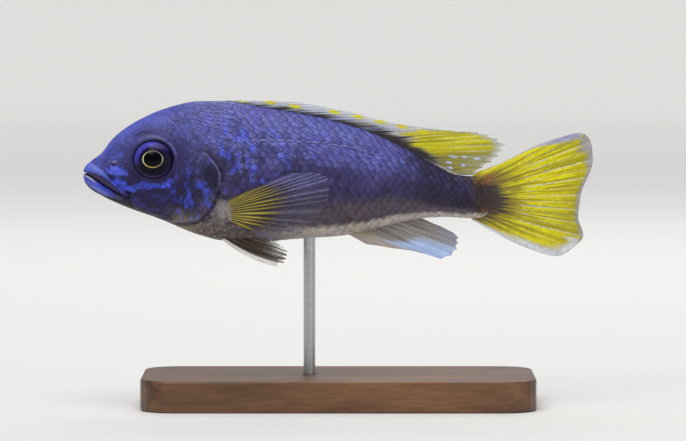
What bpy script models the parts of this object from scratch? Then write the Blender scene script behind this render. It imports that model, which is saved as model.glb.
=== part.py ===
# Yellow tail acei, a blue mbuna cichlid with yellow fins, life size, swimming level on a display stand.
# Sizes below are millimetres. Places are given as (s, h): s is the distance behind the tip of the snout
# and h is the height above the fish's own axis. The head points to -X, the left flank faces -Y and +Z is
# up. The origin is the middle of the stand's underside.

import math

import bmesh
import bpy
import numpy as np
from mathutils import Vector

MM = 0.001

# Driving sizes of the fish
TOTAL_LENGTH = 130.0
AXIS_HEIGHT = 55.0
GAP = 0.3
BODY_END = 105.4
TAIL_ROOT = 100.0
TAIL_AXIS = -2.0
RING_POINTS = 32
TAIL_SWAY = 3.2
SWAY_START = 60.0
SWAY_POWER = 1.8

# Upper and lower edge of the body in side view, as (s, h)
BACK_LINE = [
    (0, 4.3), (0.25, 5.5), (1.0, 6.5), (2.9, 8.1), (4.3, 9.1), (5.5, 10.5), (6.8, 12.3), (9.3, 14.7),
    (14.4, 18.0), (22, 21.1), (29.7, 22.6), (36, 22.6), (45, 21.2), (60.3, 18.4), (70.5, 15.6),
    (80.7, 11.2), (90.9, 5.7), (95.5, 3.7), (100, 3.4), (106, 3.4),
]
BELLY_LINE = [
    (0, 4.3), (0.15, 2.7), (0.6, 1.6), (1.7, 0.4), (5.5, -1.9), (11.9, -4.7), (19.5, -7.4),
    (29.7, -11.5), (36, -12.9), (45, -13.1), (55, -12.4), (65.4, -11.7), (75.6, -9.5), (85.8, -7.3),
    (92, -6.9), (100, -7.3), (106, -7.3),
]
# Half the body's width, as (s, half width)
HALF_WIDTH = [
    (0, 0), (0.25, 1.5), (1.5, 2.7), (4, 3.7), (8, 4.7), (14, 6.1), (20, 7.1), (28, 8.1), (36, 8.7),
    (45, 8.6), (58, 7.7), (70, 6.3), (82, 4.5), (92, 3.0), (100, 1.9), (103, 1.25), (106, 0.8),
]
# Where up the body it is widest, as a share of its depth, and how full the section is above and below
# there. A fullness under 1 is boxier than an ellipse and one over 1 is sharper.
WIDEST_SHARE = [(0, 0.5), (6, 0.42), (16, 0.46), (34, 0.47), (60, 0.48), (106, 0.5)]
BACK_FULLNESS = [(0, 1.0), (6, 0.86), (17, 0.84), (30, 0.98), (50, 1.12), (80, 1.15), (106, 1.0)]
BELLY_FULLNESS = [(0, 1.0), (6, 0.85), (20, 0.9), (36, 0.84), (60, 0.84), (80, 0.95), (106, 1.0)]

# Stations of the body's rings
HEAD_STATIONS = [
    0.05, 0.25, 0.6, 1.1, 1.8, 2.6, 3.5, 4.5, 5.6, 6.8, 8.0, 9.3, 10.6, 12.0, 13.4, 14.9, 16.4, 17.9,
    19.4, 20.9, 22.4, 24.0, 25.8, 27.6, 29.5, 31.4, 33.4, 35.4,
]
JAW_STATIONS = 18  # of those, the ones that reach the jaw
FLOOR_STATIONS = slice(4, 18, 3)  # and the ones of the mouth's floor
COVER_STATIONS = [22.4, 24.0, 25.5, 27.0, 28.5, 30.0, 31.5, 33.0, 34.2, 35.4, 37.0, 39.5]
TRUNK_STATIONS = [
    23.6, 26.5, 29.5, 32.5, 34.2, 35.6, 37.2, 39.5, 43.5, 48.0, 53.0, 58.0, 63.0, 67.5, 72.0, 76.0,
    80.0, 84.0,
]
STALK_STATIONS = [84.0, 87.0, 90.0, 93.0, 96.0, 99.0, 101.2, 102.8, 104.0, 104.8, 105.2]

# Mouth, a little open: the edge of each lip in side view from the front to the corner, and the line
# behind the jaw
MOUTH_FRONT = 4.3
UPPER_LIP_EDGE = [
    (0.0, 4.75), (2.0, 4.7), (4.2, 4.1), (6.8, 2.55), (8.8, 0.75), (10.4, -0.9), (11.0, -1.45),
]
LOWER_LIP_EDGE = [
    (0.0, 4.15), (1.6, 3.45), (3.7, 2.1), (5.5, 0.85), (7.4, -0.25), (9.4, -1.2), (11.0, -1.75),
]
JAW_BACK_LINE = [(11.0, -1.6), (12.4, -3.2), (13.8, -5.4), (14.6, -9.0)]
UPPER_LIP_RADIUS = 1.0
LOWER_LIP_RADIUS = 0.92
LIP_END = 10.0
LIP_STEPS = 12
LIP_CROWDING = 1.8  # how close its points crowd at the front
LIP_SHIFT = 0.85  # of its radius, from the mouth's edge to the bead's middle
LIP_SIDE_INSET = 0.62  # of its radius, how far the bead lies in from the skin at the side
LIP_FRONT_INSET = 1.12  # and at the front
LIP_FRONT_LENGTH = 2.4
MOUTH_DEPTH = 1.5
NOSTRIL = (7.9, 7.3)
NOSTRIL_RADIUS = 0.45

# Eye
EYE_CENTRE = (18.05, 8.0)
EYE_RADIUS = 5.1
EYE_HALF_DEPTH = 2.7
EYE_STANDS_OUT = 1.8
EYE_STEPS = 7
EYE_TURNS = 22
PUPIL_RADIUS = 2.4
PUPIL_RING_WIDTH = 0.28
PUPIL_RING_HEIGHT = 0.14
RIM_RADIUS = 0.55
RIM_OFFSET = 0.5
RIM_INSET = 0.25
RIM_STEPS = 30

# Cheek fold in front of the gill cover
CHEEK_FOLD = [(25.2, -3.0), (24.4, -4.8), (22.8, -6.1), (20.4, -6.5), (16.4, -5.9)]
CHEEK_FOLD_RADIUS = 0.4
CHEEK_FOLD_STEPS = 12
# Fleshy pad that the pectoral fin grows from: middle in side view, half sizes and height
FIN_PAD = (36.0, -5.2)
FIN_PAD_SIZE = (2.6, 3.4)
FIN_PAD_HEIGHT = 0.9

# Gill cover: its outline in side view, how far it lies over the shoulder and how thick it is
COVER_OUTLINE = [
    (27.0, 11.2), (30.5, 10.6), (33.0, 8.4), (34.8, 5.7), (35.5, 3.2), (35.1, 0.6), (33.9, -1.9),
    (32.7, -4.3), (31.0, -6.3), (28.4, -7.8), (25.4, -8.3), (24.4, -5.6), (24.3, -2.0), (24.4, 2.5),
    (24.9, 7.2),
]
COVER_STANDS_OUT = 0.5
COVER_RISE = (25.0, 32.0)
COVER_THICKNESS = 1.6
COVER_INNER_SIDE = 1.0
CUT_REACH = 20.0
# Side-view limits of the cutting outlines, clear of the fish
CLEAR_AHEAD = -20.0
CLEAR_BEHIND = 60.0
CLEAR_BELOW = -16.0
MOUTH_AHEAD = -6.0
# Cut between head and trunk, under the rear of the gill cover
NECK_LINE = [
    (28.4, 26.0), (29.4, 18.0), (30.2, 12.0), (31.8, 8.5), (33.0, 5.0), (33.2, 2.0), (32.6, -1.0),
    (31.4, -4.0), (29.6, -6.4), (27.0, -9.0), (25.0, -14.0),
]
STALK_CUT = 84.0

# Fins. A key ray is (number of the ray, its root, its tip); the rays between are worked out from those.
DORSAL_KEYS = [
    (0, (32.8, 21.9), (37.0, 22.9)), (3, (38.6, 21.7), (51.0, 22.6)), (7, (49.0, 19.9), (65.0, 20.5)),
    (12, (61.6, 17.4), (79.0, 17.1)), (17, (73.2, 13.7), (93.6, 15.1)), (18, (75.4, 12.7), (99.8, 14.7)),
    (20, (79.0, 11.2), (105.0, 13.0)), (21, (80.8, 10.3), (107.0, 11.5)), (22, (82.6, 9.3), (106.2, 10.0)),
    (23, (84.4, 8.4), (105.4, 8.6)), (24, (86.8, 7.1), (103.6, 7.1)), (25, (89.8, 5.5), (101.4, 5.6)),
    (26, (93.2, 4.0), (99.6, 4.3)),
]
ANAL_KEYS = [
    (0, (66.0, -10.4), (72.0, -13.8)), (1, (68.2, -10.1), (78.4, -14.8)), (2, (70.2, -9.7), (85.8, -16.0)),
    (3, (72.2, -9.2), (91.0, -17.5)), (5, (76.0, -8.2), (95.0, -15.0)), (7, (79.8, -7.2), (95.4, -12.2)),
    (9, (83.0, -6.5), (92.0, -9.8)), (10, (84.6, -6.3), (88.4, -8.4)),
]
TAIL_KEYS = [
    (0, (98.6, 2.2), (100.8, 4.3)), (1, (99.6, 2.1), (107.0, 7.2)), (2, (100.6, 1.9), (117.0, 11.8)),
    (3, (101.4, 1.6), (126.4, 14.5)), (5, (102.4, 0.8), (129.5, 12.0)), (7, (103.0, -0.2), (130.0, 7.6)),
    (11, (103.4, -2.0), (126.9, -1.4)), (14, (103.1, -3.6), (126.3, -7.0)),
    (17, (102.3, -5.0), (127.6, -12.0)), (18, (101.8, -5.4), (125.0, -15.0)),
    (19, (101.2, -5.8), (120.5, -17.1)), (20, (100.3, -6.1), (111.5, -14.3)),
    (21, (98.6, -6.3), (99.6, -8.0)),
]
# The pectoral and pelvic fins have a root and a tip in all three directions; the third number is the
# distance out from the middle plane.
PECTORAL_KEYS = [
    (0, (36.0, -2.9, 8.0), (53.4, 4.9, 13.5)), (1.5, (36.1, -3.5, 8.2), (58.5, 5.1, 15.6)),
    (3, (36.2, -4.2, 8.3), (62.2, 3.6, 16.6)), (4.5, (36.4, -4.9, 8.3), (62.8, 0.2, 17.0)),
    (6.5, (36.7, -5.9, 8.2), (59.4, -6.4, 16.0)), (8, (37.0, -6.7, 8.0), (55.0, -10.6, 14.6)),
    (9, (37.3, -7.4, 7.8), (48.6, -12.6, 12.2)),
]
PELVIC_KEYS = [
    (0, (33.8, -11.0, 2.4), (49.0, -18.8, 7.0)), (1, (35.0, -11.2, 2.5), (50.8, -18.0, 6.8)),
    (3, (37.4, -11.5, 2.6), (51.5, -16.0, 6.1)), (5, (39.8, -11.6, 2.6), (49.6, -14.1, 4.6)),
]
RIGHT_PECTORAL_SPREAD = 0.8
MEMBRANE = 0.7
RAY = 1.3
TIP_SHARE = 0.6
TOOTH = 0.7
RAY_COLUMNS = 3  # of the mesh, for each ray
WAVES = 1.5  # over a fin's rays
WAVE_GROWTH = 1.5
# Each fin: name, key rays, side, rows along its rays, wave at the tips, bow of the outer rays as a share
# of their length, how far the rays pass the membrane, and how far it is spread
FINS = [
    ("dorsal_fin", DORSAL_KEYS, 0, 4, 0.0, 0.0, TOOTH, 1.0),
    ("anal_fin", ANAL_KEYS, 0, 5, 0.25, 0.0, TOOTH, 1.0),
    ("tail_fin", TAIL_KEYS, 0, 5, 0.7, 0.02, 0.0, 1.0),
    ("pectoral_fin_left", PECTORAL_KEYS, -1, 5, 0.4, 0.008, TOOTH, 1.0),
    ("pectoral_fin_right", PECTORAL_KEYS, 1, 5, 0.4, 0.008, TOOTH, RIGHT_PECTORAL_SPREAD),
    ("pelvic_fin_left", PELVIC_KEYS, -1, 4, 0.0, -0.075, TOOTH, 1.0),
    ("pelvic_fin_right", PELVIC_KEYS, 1, 4, 0.0, -0.075, TOOTH, 1.0),
]

# Display stand
BASE_LENGTH = 100.0
BASE_WIDTH = 48.0
BASE_THICKNESS = 8.0
BASE_CORNER = 9.0
CORNER_STEPS = 5
BASE_EDGE = 1.2
ROD_RADIUS = 1.5
ROD_SIDES = 24
ROD_AT = 57.6
ROD_INTO_BASE = 4.0
ROD_INTO_BODY = 2.5

# Colour, roughness and metallic value of each material
BLUE_SKIN = (0.065, 0.06, 0.25), 0.38, 0.0
YELLOW_FIN = (0.62, 0.56, 0.03), 0.45, 0.0
BLACK_EYE = (0.012, 0.01, 0.02), 0.12, 0.0
OILED_WOOD = (0.05, 0.03, 0.02), 0.45, 0.0
BRUSHED_STEEL = (0.6, 0.6, 0.62), 0.3, 1.0
SKIN_SMOOTH_ANGLE = 35.0
FIN_SMOOTH_ANGLE = 60.0


# Curves through named points
def hermite(xs, ys, x):
    """A smooth curve through the points that never swings past them."""
    if x <= xs[0]:
        return ys[0]
    if x >= xs[-1]:
        return ys[-1]
    i = int(np.searchsorted(xs, x)) - 1
    steps = np.diff(xs)
    slopes = np.diff(ys) / steps

    def tangent(k):
        if k == 0:
            return slopes[0]
        if k == len(xs) - 1:
            return slopes[-1]
        if slopes[k - 1] * slopes[k] <= 0:
            return 0.0
        return 2 * slopes[k - 1] * slopes[k] / (slopes[k - 1] + slopes[k])

    t = (x - xs[i]) / steps[i]
    a, b = tangent(i) * steps[i], tangent(i + 1) * steps[i]
    return (
        ys[i] * (1 + 2 * t) * (1 - t) ** 2
        + ys[i + 1] * t * t * (3 - 2 * t)
        + a * t * (1 - t) ** 2
        - b * t * t * (1 - t)
    )


def along(points, s):
    """The height of a body line at s. It is smooth in the root of s, which makes a blunt snout."""
    xs = np.sqrt([p[0] for p in points])
    return hermite(xs, np.array([p[1] for p in points], float), math.sqrt(max(s, 0.0)))


def path(points, count, closed=False):
    """Count points along a smooth line through the given ones, evenly by length."""
    given = list(points) + [points[0]] if closed else list(points)
    flat = np.array(given, float)
    lengths = np.concatenate([[0], np.cumsum(np.linalg.norm(np.diff(flat, axis=0), axis=1))])
    ends = np.linspace(0, lengths[-1], count + 1)[:-1] if closed else np.linspace(0, lengths[-1], count)
    return [tuple(hermite(lengths, flat[:, k], t) for k in range(flat.shape[1])) for t in ends]


def smooth_step(low, high, x):
    t = min(1.0, max(0.0, (x - low) / (high - low)))
    return t * t * (3 - 2 * t)


def sway(s):
    """How far the middle plane bends to the right as the tail swings."""
    return TAIL_SWAY * max(0.0, (s - SWAY_START) / (TOTAL_LENGTH - SWAY_START)) ** SWAY_POWER


def place(s, h, out=0.0):
    """A point of the fish in metres. Out is to the right of its bent middle plane."""
    return Vector(((s - TOTAL_LENGTH / 2) * MM, (out + sway(s)) * MM, (AXIS_HEIGHT + h) * MM))


# Body section
def section(s):
    """Top, bottom, half width, widest height and the two fullnesses of the body at s."""
    top, bottom, half = along(BACK_LINE, s), along(BELLY_LINE, s), along(HALF_WIDTH, s)
    if s > TAIL_ROOT:
        close = math.sqrt(max(0.0, 1 - ((s - TAIL_ROOT) / (BODY_END - TAIL_ROOT)) ** 2))
        top = TAIL_AXIS + (top - TAIL_AXIS) * close
        bottom = TAIL_AXIS + (bottom - TAIL_AXIS) * close
    widest = bottom + along(WIDEST_SHARE, s) * (top - bottom)
    return top, bottom, half, widest, along(BACK_FULLNESS, s), along(BELLY_FULLNESS, s)


def ring(s, grow):
    """One ring of the body as (s, h, out), starting at the back and going round by the right side."""
    grow = grow(s) if callable(grow) else grow
    top, bottom, half, widest, back_full, belly_full = section(s)
    points = []
    for k in range(RING_POINTS):
        angle = 2 * math.pi * k / RING_POINTS
        rise, side = math.cos(angle), math.sin(angle)
        reach = (top - widest) if rise > 0 else (widest - bottom)
        fullness = back_full if rise > 0 else belly_full
        out = math.copysign(abs(side) ** fullness, side) * (half + grow) if abs(side) > 1e-9 else 0.0
        h = widest + rise * (reach + grow)
        points.append((s, h, out + math.copysign(fin_pad(s, h), out) if abs(out) > 1 else out))
    return points


def fin_pad(s, h):
    """How far the pad under the pectoral fin stands out."""
    far = ((s - FIN_PAD[0]) / FIN_PAD_SIZE[0]) ** 2 + ((h - FIN_PAD[1]) / FIN_PAD_SIZE[1]) ** 2
    return FIN_PAD_HEIGHT * math.exp(-far)


def skin(s, h):
    """Distance of the skin from the middle plane at a place in side view."""
    top, bottom, half, widest, back_full, belly_full = section(s)
    reach, fullness = (top - widest, back_full) if h > widest else (widest - bottom, belly_full)
    rise = min(0.999, abs(h - widest) / max(reach, 1e-6))
    return half * (1 - rise * rise) ** (fullness / 2)


def skin_normal(s, h):
    """The skin's outward normal there as (s, h, out)."""
    step = 0.4
    fall_s = skin(s - step, h) - skin(s + step, h)
    fall_h = skin(s, h - step) - skin(s, h + step)
    return Vector((fall_s, fall_h, 2 * step)).normalized()


# Meshes and modifiers
def link(name, mesh, collection):
    made = bpy.data.objects.new(name, mesh)
    collection.objects.link(made)
    return made


def body_loft(name, stations, collection, grow=0.0, nose=False):
    """The stretch of the body through these stations, closed at both ends."""
    work = bmesh.new()
    rings = [[work.verts.new(place(*p)) for p in ring(s, grow)] for s in stations]
    for first, second in zip(rings, rings[1:]):
        for k in range(RING_POINTS):
            after = (k + 1) % RING_POINTS
            work.faces.new((first[k], first[after], second[after], second[k]))
    ends = ((rings[0], stations[0], False), (rings[-1], stations[-1], True))
    for loop, s, last in ends:
        top, bottom = section(s)[:2]
        tip = 0.0 if nose and not last else s + (grow if last and s > TAIL_ROOT else 0.0)
        middle = work.verts.new(place(tip, MOUTH_FRONT if nose and not last else (top + bottom) / 2))
        for k in range(RING_POINTS):
            after = (k + 1) % RING_POINTS
            corners = (loop[k], middle, loop[after]) if not last else (loop[k], loop[after], middle)
            work.faces.new(corners)
    bmesh.ops.recalc_face_normals(work, faces=work.faces[:])
    mesh = bpy.data.meshes.new(name)
    bmesh.ops.triangulate(work, faces=work.faces[:])
    work.to_mesh(mesh)
    work.free()
    return link(name, mesh, collection)


def mesh_of(curve_object):
    """A curve object made a mesh object of the same name, with its caps welded."""
    bpy.context.view_layer.update()
    seen = curve_object.evaluated_get(bpy.context.evaluated_depsgraph_get())
    mesh = bpy.data.meshes.new_from_object(seen)
    name, collection = curve_object.name, curve_object.users_collection[0]
    matrix = curve_object.matrix_world.copy()
    bpy.data.objects.remove(curve_object)
    work = bmesh.new()
    work.from_mesh(mesh)
    bmesh.ops.remove_doubles(work, verts=work.verts[:], dist=0.01 * MM)
    bmesh.ops.recalc_face_normals(work, faces=work.faces[:])
    work.to_mesh(mesh)
    work.free()
    made = link(name, mesh, collection)
    made.matrix_world = matrix
    return made


def tube(name, points, radii, collection, closed=False, round_steps=2):
    """A round bead along points given as (s, h, out)."""
    data = bpy.data.curves.new(name, "CURVE")
    data.dimensions = "3D"
    data.bevel_depth = 1 * MM
    data.bevel_resolution = round_steps
    data.use_fill_caps = True
    spline = data.splines.new("POLY")
    spline.points.add(len(points) - 1)
    for point, at, radius in zip(spline.points, points, radii):
        point.co = (*place(*at), 1)
        point.radius = radius
    spline.use_cyclic_u = closed
    return mesh_of(link(name, data, collection))


def lip(name, edge, lift, radius, collection):
    """A lip: a bead along the mouth's edge from one corner round the front to the other."""
    heights = np.array(edge, float)
    half = []
    for k in range(LIP_STEPS + 1):
        s = LIP_END * (k / LIP_STEPS) ** LIP_CROWDING
        h = hermite(heights[:, 0], heights[:, 1], s) + lift
        half.append((s, h, skin(s, h) if s > 0 else 0.0))
    inner = []
    for k, (s, h, out) in enumerate(half):
        before, after = half[max(0, k - 1)], half[min(len(half) - 1, k + 1)]
        run = Vector((after[0] - before[0], after[2] - before[2])).normalized() if k else Vector((0, 1))
        at_side = smooth_step(0.0, LIP_FRONT_LENGTH, s)
        inset = radius * (LIP_FRONT_INSET + (LIP_SIDE_INSET - LIP_FRONT_INSET) * at_side)
        inner.append((s + run.y * inset, h, out - run.x * inset))
    points = [(s, h, -out) for s, h, out in reversed(inner[1:])] + inner
    share = [abs(k - LIP_STEPS) / LIP_STEPS for k in range(2 * LIP_STEPS + 1)]
    radii = [radius * (0.92 + 0.08 * smooth_step(0, 0.4, x) - 0.4 * smooth_step(0.6, 1, x)) for x in share]
    return tube(name, points, radii, collection)


def prism(name, outline, collection, low=-CUT_REACH, high=CUT_REACH):
    """A side-view outline of (s, h) points pushed through the fish from out = low to out = high."""
    data = bpy.data.curves.new(name, "CURVE")
    data.dimensions = "2D"
    data.fill_mode = "BOTH"
    data.extrude = (high - low) / 2 * MM
    spline = data.splines.new("POLY")
    spline.points.add(len(outline) - 1)
    for point, (s, h) in zip(spline.points, outline):
        point.co = ((s - TOTAL_LENGTH / 2) * MM, (AXIS_HEIGHT + h) * MM, 0, 1)
    spline.use_cyclic_u = True
    made = link(name, data, collection)
    made.rotation_euler = (math.pi / 2, 0, 0)
    made.location = (0, (low + high) / 2 * MM, 0)
    return mesh_of(made)


def combine(target, other, operation, solver="EXACT"):
    """Adds a Boolean modifier by another object."""
    modifier = target.modifiers.new(f"{operation.title()} {other.name}", "BOOLEAN")
    modifier.operation = operation
    modifier.object = other
    modifier.solver = solver
    return modifier


def join(target, pieces, solver="EXACT"):
    """Adds a Boolean union with every object of a collection."""
    modifier = target.modifiers.new("Join", "BOOLEAN")
    modifier.operation = "UNION"
    modifier.operand_type = "COLLECTION"
    modifier.collection = pieces
    modifier.solver = solver
    return modifier


def settle(made):
    """Applies the modifiers and keeps only the largest closed surface."""
    bpy.context.view_layer.update()
    mesh = bpy.data.meshes.new_from_object(made.evaluated_get(bpy.context.evaluated_depsgraph_get()))
    made.modifiers.clear()
    made.data = mesh
    work = bmesh.new()
    work.from_mesh(mesh)
    bmesh.ops.remove_doubles(work, verts=work.verts[:], dist=0.002 * MM)
    left, islands = set(work.verts), []
    while left:
        island, edge_of = set(), [left.pop()]
        while edge_of:
            vert = edge_of.pop()
            island.add(vert)
            for edge in vert.link_edges:
                other = edge.other_vert(vert)
                if other in left:
                    left.discard(other)
                    edge_of.append(other)
        islands.append(island)
    islands.sort(key=len)
    bmesh.ops.delete(work, geom=[v for island in islands[:-1] for v in island], context="VERTS")
    bmesh.ops.triangulate(work, faces=work.faces[:])
    work.to_mesh(mesh)
    work.free()
    return made


def remove_all(pieces):
    """Removes the helpers of a collection once their union is applied."""
    for piece in list(pieces.objects):
        bpy.data.objects.remove(piece)


def finish(made, material, angle=SKIN_SMOOTH_ANGLE):
    made.data.materials.clear()
    made.data.materials.append(material)
    made.data.shade_smooth()
    made.data.set_sharp_from_angle(angle=math.radians(angle))


def material(name, colour, roughness, metallic):
    made = bpy.data.materials.new(name)
    made.use_nodes = True
    shader = made.node_tree.nodes["Principled BSDF"]
    shader.inputs["Base Color"].default_value = (*colour, 1)
    shader.inputs["Roughness"].default_value = roughness
    shader.inputs["Metallic"].default_value = metallic
    made.diffuse_color = (*colour, 1)
    return made


# Fins
def fin(name, keys, side, rows, ripple, bow, tooth, spread, collection):
    """A fin as one membrane with a ridge for each ray, on the side -1 for left, 1 for right or 0."""
    numbers = np.array([k[0] for k in keys], float)
    roots = np.array([k[1] for k in keys], float)
    tips = np.array([k[2] for k in keys], float)
    rays = int(numbers[-1])
    columns = rays * RAY_COLUMNS + 1
    work = bmesh.new()
    bmesh.ops.create_grid(work, x_segments=columns - 1, y_segments=rows, size=1)
    work.verts.index_update()
    thickness = {}
    for vert in work.verts:
        column = round((vert.co.x + 1) / 2 * (columns - 1))
        row = round((vert.co.y + 1) / 2 * rows)
        number, share = column / RAY_COLUMNS, row / rows
        root = np.array([hermite(numbers, roots[:, k], number) for k in range(roots.shape[1])])
        tip = np.array([hermite(numbers, tips[:, k], number) for k in range(tips.shape[1])])
        on_ray = column % RAY_COLUMNS == 0
        run = tip - root
        length = float(np.linalg.norm(run))
        if on_ray:
            tip = tip + run / length * tooth
        point = root + (tip - root) * share
        bend = 4 * share * (1 - share) * bow * (1 - 2 * number / rays)
        point[0] -= run[1] * bend
        point[1] += run[0] * bend
        out = ripple * math.sin(2 * math.pi * WAVES * number / rays) * share**WAVE_GROWTH
        if side:
            out = side * (roots[0][2] + (point[2] - roots[0][2]) * spread + out)
        vert.co = place(point[0], point[1], out)
        taper = 1 - (1 - TIP_SHARE) * share
        thickness[vert.index] = (RAY if on_ray else MEMBRANE) * taper
    bmesh.ops.triangulate(work, faces=work.faces[:])
    mesh = bpy.data.meshes.new(name)
    work.to_mesh(mesh)
    work.free()
    made = link(name, mesh, collection)
    group = made.vertex_groups.new(name="thickness")
    for index, thick in thickness.items():
        group.add([index], thick / RAY, "REPLACE")
    shell = made.modifiers.new("Thickness", "SOLIDIFY")
    shell.thickness = RAY * MM
    shell.offset = 0
    shell.vertex_group = group.name
    shell.use_even_offset = False
    return made


# Head details
def look_out(made, side):
    """Turns an object's own Z to the skin's normal at the eye, and puts it at the eyeball's centre."""
    normal = skin_normal(*EYE_CENTRE)
    into = EYE_STANDS_OUT - EYE_HALF_DEPTH
    at = Vector((*EYE_CENTRE, skin(*EYE_CENTRE))) + normal * into
    made.location = place(at.x, at.y, side * at.z)
    made.rotation_euler = Vector((normal.x, side * normal.z, normal.y)).to_track_quat("Z", "Y").to_euler()
    return made


def eye(name, side, collection):
    """A flattened ball with the raised ring round its pupil."""
    profile = []
    for k in range(EYE_STEPS + 1):
        angle = math.pi / 2 - math.pi * k / EYE_STEPS
        profile.append((EYE_RADIUS * math.cos(angle), EYE_HALF_DEPTH * math.sin(angle)))
    for width, lift in ((-PUPIL_RING_WIDTH, 0.0), (0.0, PUPIL_RING_HEIGHT), (PUPIL_RING_WIDTH, 0.0)):
        radius = PUPIL_RADIUS + width
        profile.append((radius, EYE_HALF_DEPTH * math.sqrt(1 - (radius / EYE_RADIUS) ** 2) + lift))
    profile.sort(key=lambda point: -point[1])
    work = bmesh.new()
    verts = []
    for index, (radius, depth) in enumerate(profile):
        pole = index in (0, len(profile) - 1)
        verts.append(work.verts.new((0.0 if pole else radius * MM, 0, depth * MM)))
    edges = [work.edges.new(pair) for pair in zip(verts, verts[1:])]
    bmesh.ops.spin(
        work, geom=verts + edges, cent=(0, 0, 0), axis=(0, 0, 1),
        angle=2 * math.pi, steps=EYE_TURNS, use_merge=True,
    )
    bmesh.ops.remove_doubles(work, verts=work.verts[:], dist=0.001 * MM)
    bmesh.ops.recalc_face_normals(work, faces=work.faces[:])
    data = bpy.data.meshes.new(name)
    work.to_mesh(data)
    work.free()
    return look_out(link(name, data, collection), side)


def ball(name, size, collection, segments=24):
    """A sphere stretched to half sizes in millimetres."""
    work = bmesh.new()
    bmesh.ops.create_uvsphere(work, u_segments=segments, v_segments=segments // 2, radius=1)
    mesh = bpy.data.meshes.new(name)
    work.to_mesh(mesh)
    work.free()
    made = link(name, mesh, collection)
    made.scale = Vector(size) * MM
    return made


def eye_rim(name, side, collection):
    """The fold of skin round the eye."""
    points = []
    for k in range(RIM_STEPS):
        turn = 2 * math.pi * k / RIM_STEPS
        reach = EYE_RADIUS + RIM_OFFSET
        s, h = EYE_CENTRE[0] + reach * math.cos(turn), EYE_CENTRE[1] + reach * math.sin(turn)
        points.append((s, h, side * (skin(s, h) - RIM_INSET)))
    return tube(name, points, [RIM_RADIUS] * RIM_STEPS, collection, closed=True, round_steps=1)


def cheek_fold(name, side, collection):
    """The bead that cuts the fold behind the cheek."""
    points = [(s, h, side * skin(s, h)) for s, h in path(CHEEK_FOLD, CHEEK_FOLD_STEPS)]
    return tube(name, points, [CHEEK_FOLD_RADIUS] * CHEEK_FOLD_STEPS, collection, round_steps=1)


# Cutting outlines
def shifted(line, away):
    """A polyline moved sideways in side view; a positive distance moves it up or back."""
    moved = []
    for k, (s, h) in enumerate(line):
        before, after = line[max(0, k - 1)], line[min(len(line) - 1, k + 1)]
        run = Vector((after[0] - before[0], after[1] - before[1])).normalized()
        moved.append((s - run.y * away, h + run.x * away))
    return moved


def jaw_outline(edge, gap):
    """Side view of all that lies under a mouth edge and ahead of the line behind the jaw, grown by gap."""
    mouth = shifted(path(edge, 14), gap)
    mouth.insert(0, (MOUTH_AHEAD, mouth[0][1] + 1.0))
    back = shifted(path(JAW_BACK_LINE, 7), gap)[1:]
    return mouth + back + [(back[-1][0], CLEAR_BELOW), (MOUTH_AHEAD, CLEAR_BELOW)]


def outline_grown(outline, away):
    """A closed outline moved outward, for one that goes round clockwise in side view."""
    grown = []
    count = len(outline)
    for k, (s, h) in enumerate(outline):
        before, after = outline[k - 1], outline[(k + 1) % count]
        run = Vector((after[0] - before[0], after[1] - before[1])).normalized()
        grown.append((s - run.y * away, h + run.x * away))
    return grown


def neck_outline(gap, behind):
    """Everything behind, or ahead of, the neck cut."""
    line = shifted(path(NECK_LINE, 26), gap)
    far = CLEAR_BEHIND if behind else CLEAR_AHEAD
    return line + [(far, line[-1][1] - 10), (far, line[0][1] + 10)]


def cover_growth(s):
    """The gill cover is flush with the head in front and lies over the shoulder behind."""
    return COVER_STANDS_OUT * smooth_step(*COVER_RISE, s)


def build_head(parts, cutters, details, pocket, paint):
    """The head without its jaw and gill covers, with lips, eyes and nostrils."""
    head = body_loft("head", HEAD_STATIONS, parts, nose=True)
    lip("upper_lip", UPPER_LIP_EDGE, UPPER_LIP_RADIUS * LIP_SHIFT, UPPER_LIP_RADIUS, details)
    for side, word in ((-1, "left"), (1, "right")):
        eye_rim(f"rim_{word}", side, details)
    join(head, details)
    for side, word in ((-1, "left"), (1, "right")):
        combine(head, pocket[side], "DIFFERENCE")
        grown = (EYE_RADIUS + GAP, EYE_RADIUS + GAP, EYE_HALF_DEPTH + GAP)
        combine(head, look_out(ball(f"socket_{word}", grown, cutters), side), "DIFFERENCE")
        hole = ball(f"nostril_{word}", (NOSTRIL_RADIUS,) * 3, cutters, segments=12)
        hole.location = place(*NOSTRIL, side * skin(*NOSTRIL))
        combine(head, hole, "DIFFERENCE")
        combine(head, cheek_fold(f"fold_{word}", side, cutters), "DIFFERENCE")
        finish(settle(eye(f"eye_{word}", side, parts)), paint["eye"])
    combine(head, prism("behind_neck", neck_outline(-GAP / 2, True), cutters), "DIFFERENCE")
    combine(head, prism("jaw_cut", jaw_outline(UPPER_LIP_EDGE, 0.0), cutters), "DIFFERENCE")
    finish(settle(head), paint["blue"])
    remove_all(details)


def build_jaw(parts, cutters, details, paint):
    """The lower jaw: its lip and skin under the open mouth, and the mouth's floor further in."""
    jaw = body_loft("lower_jaw", HEAD_STATIONS[:JAW_STATIONS], parts, nose=True)
    floor = body_loft("mouth_floor", HEAD_STATIONS[FLOOR_STATIONS], details, grow=-MOUTH_DEPTH)
    combine(floor, prism("floor_keep", jaw_outline(UPPER_LIP_EDGE, -GAP), cutters), "INTERSECT")
    settle(floor)
    lower = lip("lower_lip", LOWER_LIP_EDGE, -LOWER_LIP_RADIUS * LIP_SHIFT, LOWER_LIP_RADIUS, cutters)
    combine(jaw, lower, "UNION")
    combine(jaw, prism("jaw_keep", jaw_outline(LOWER_LIP_EDGE, -GAP), cutters), "INTERSECT")
    join(jaw, details)
    finish(settle(jaw), paint["blue"])
    remove_all(details)


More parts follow.
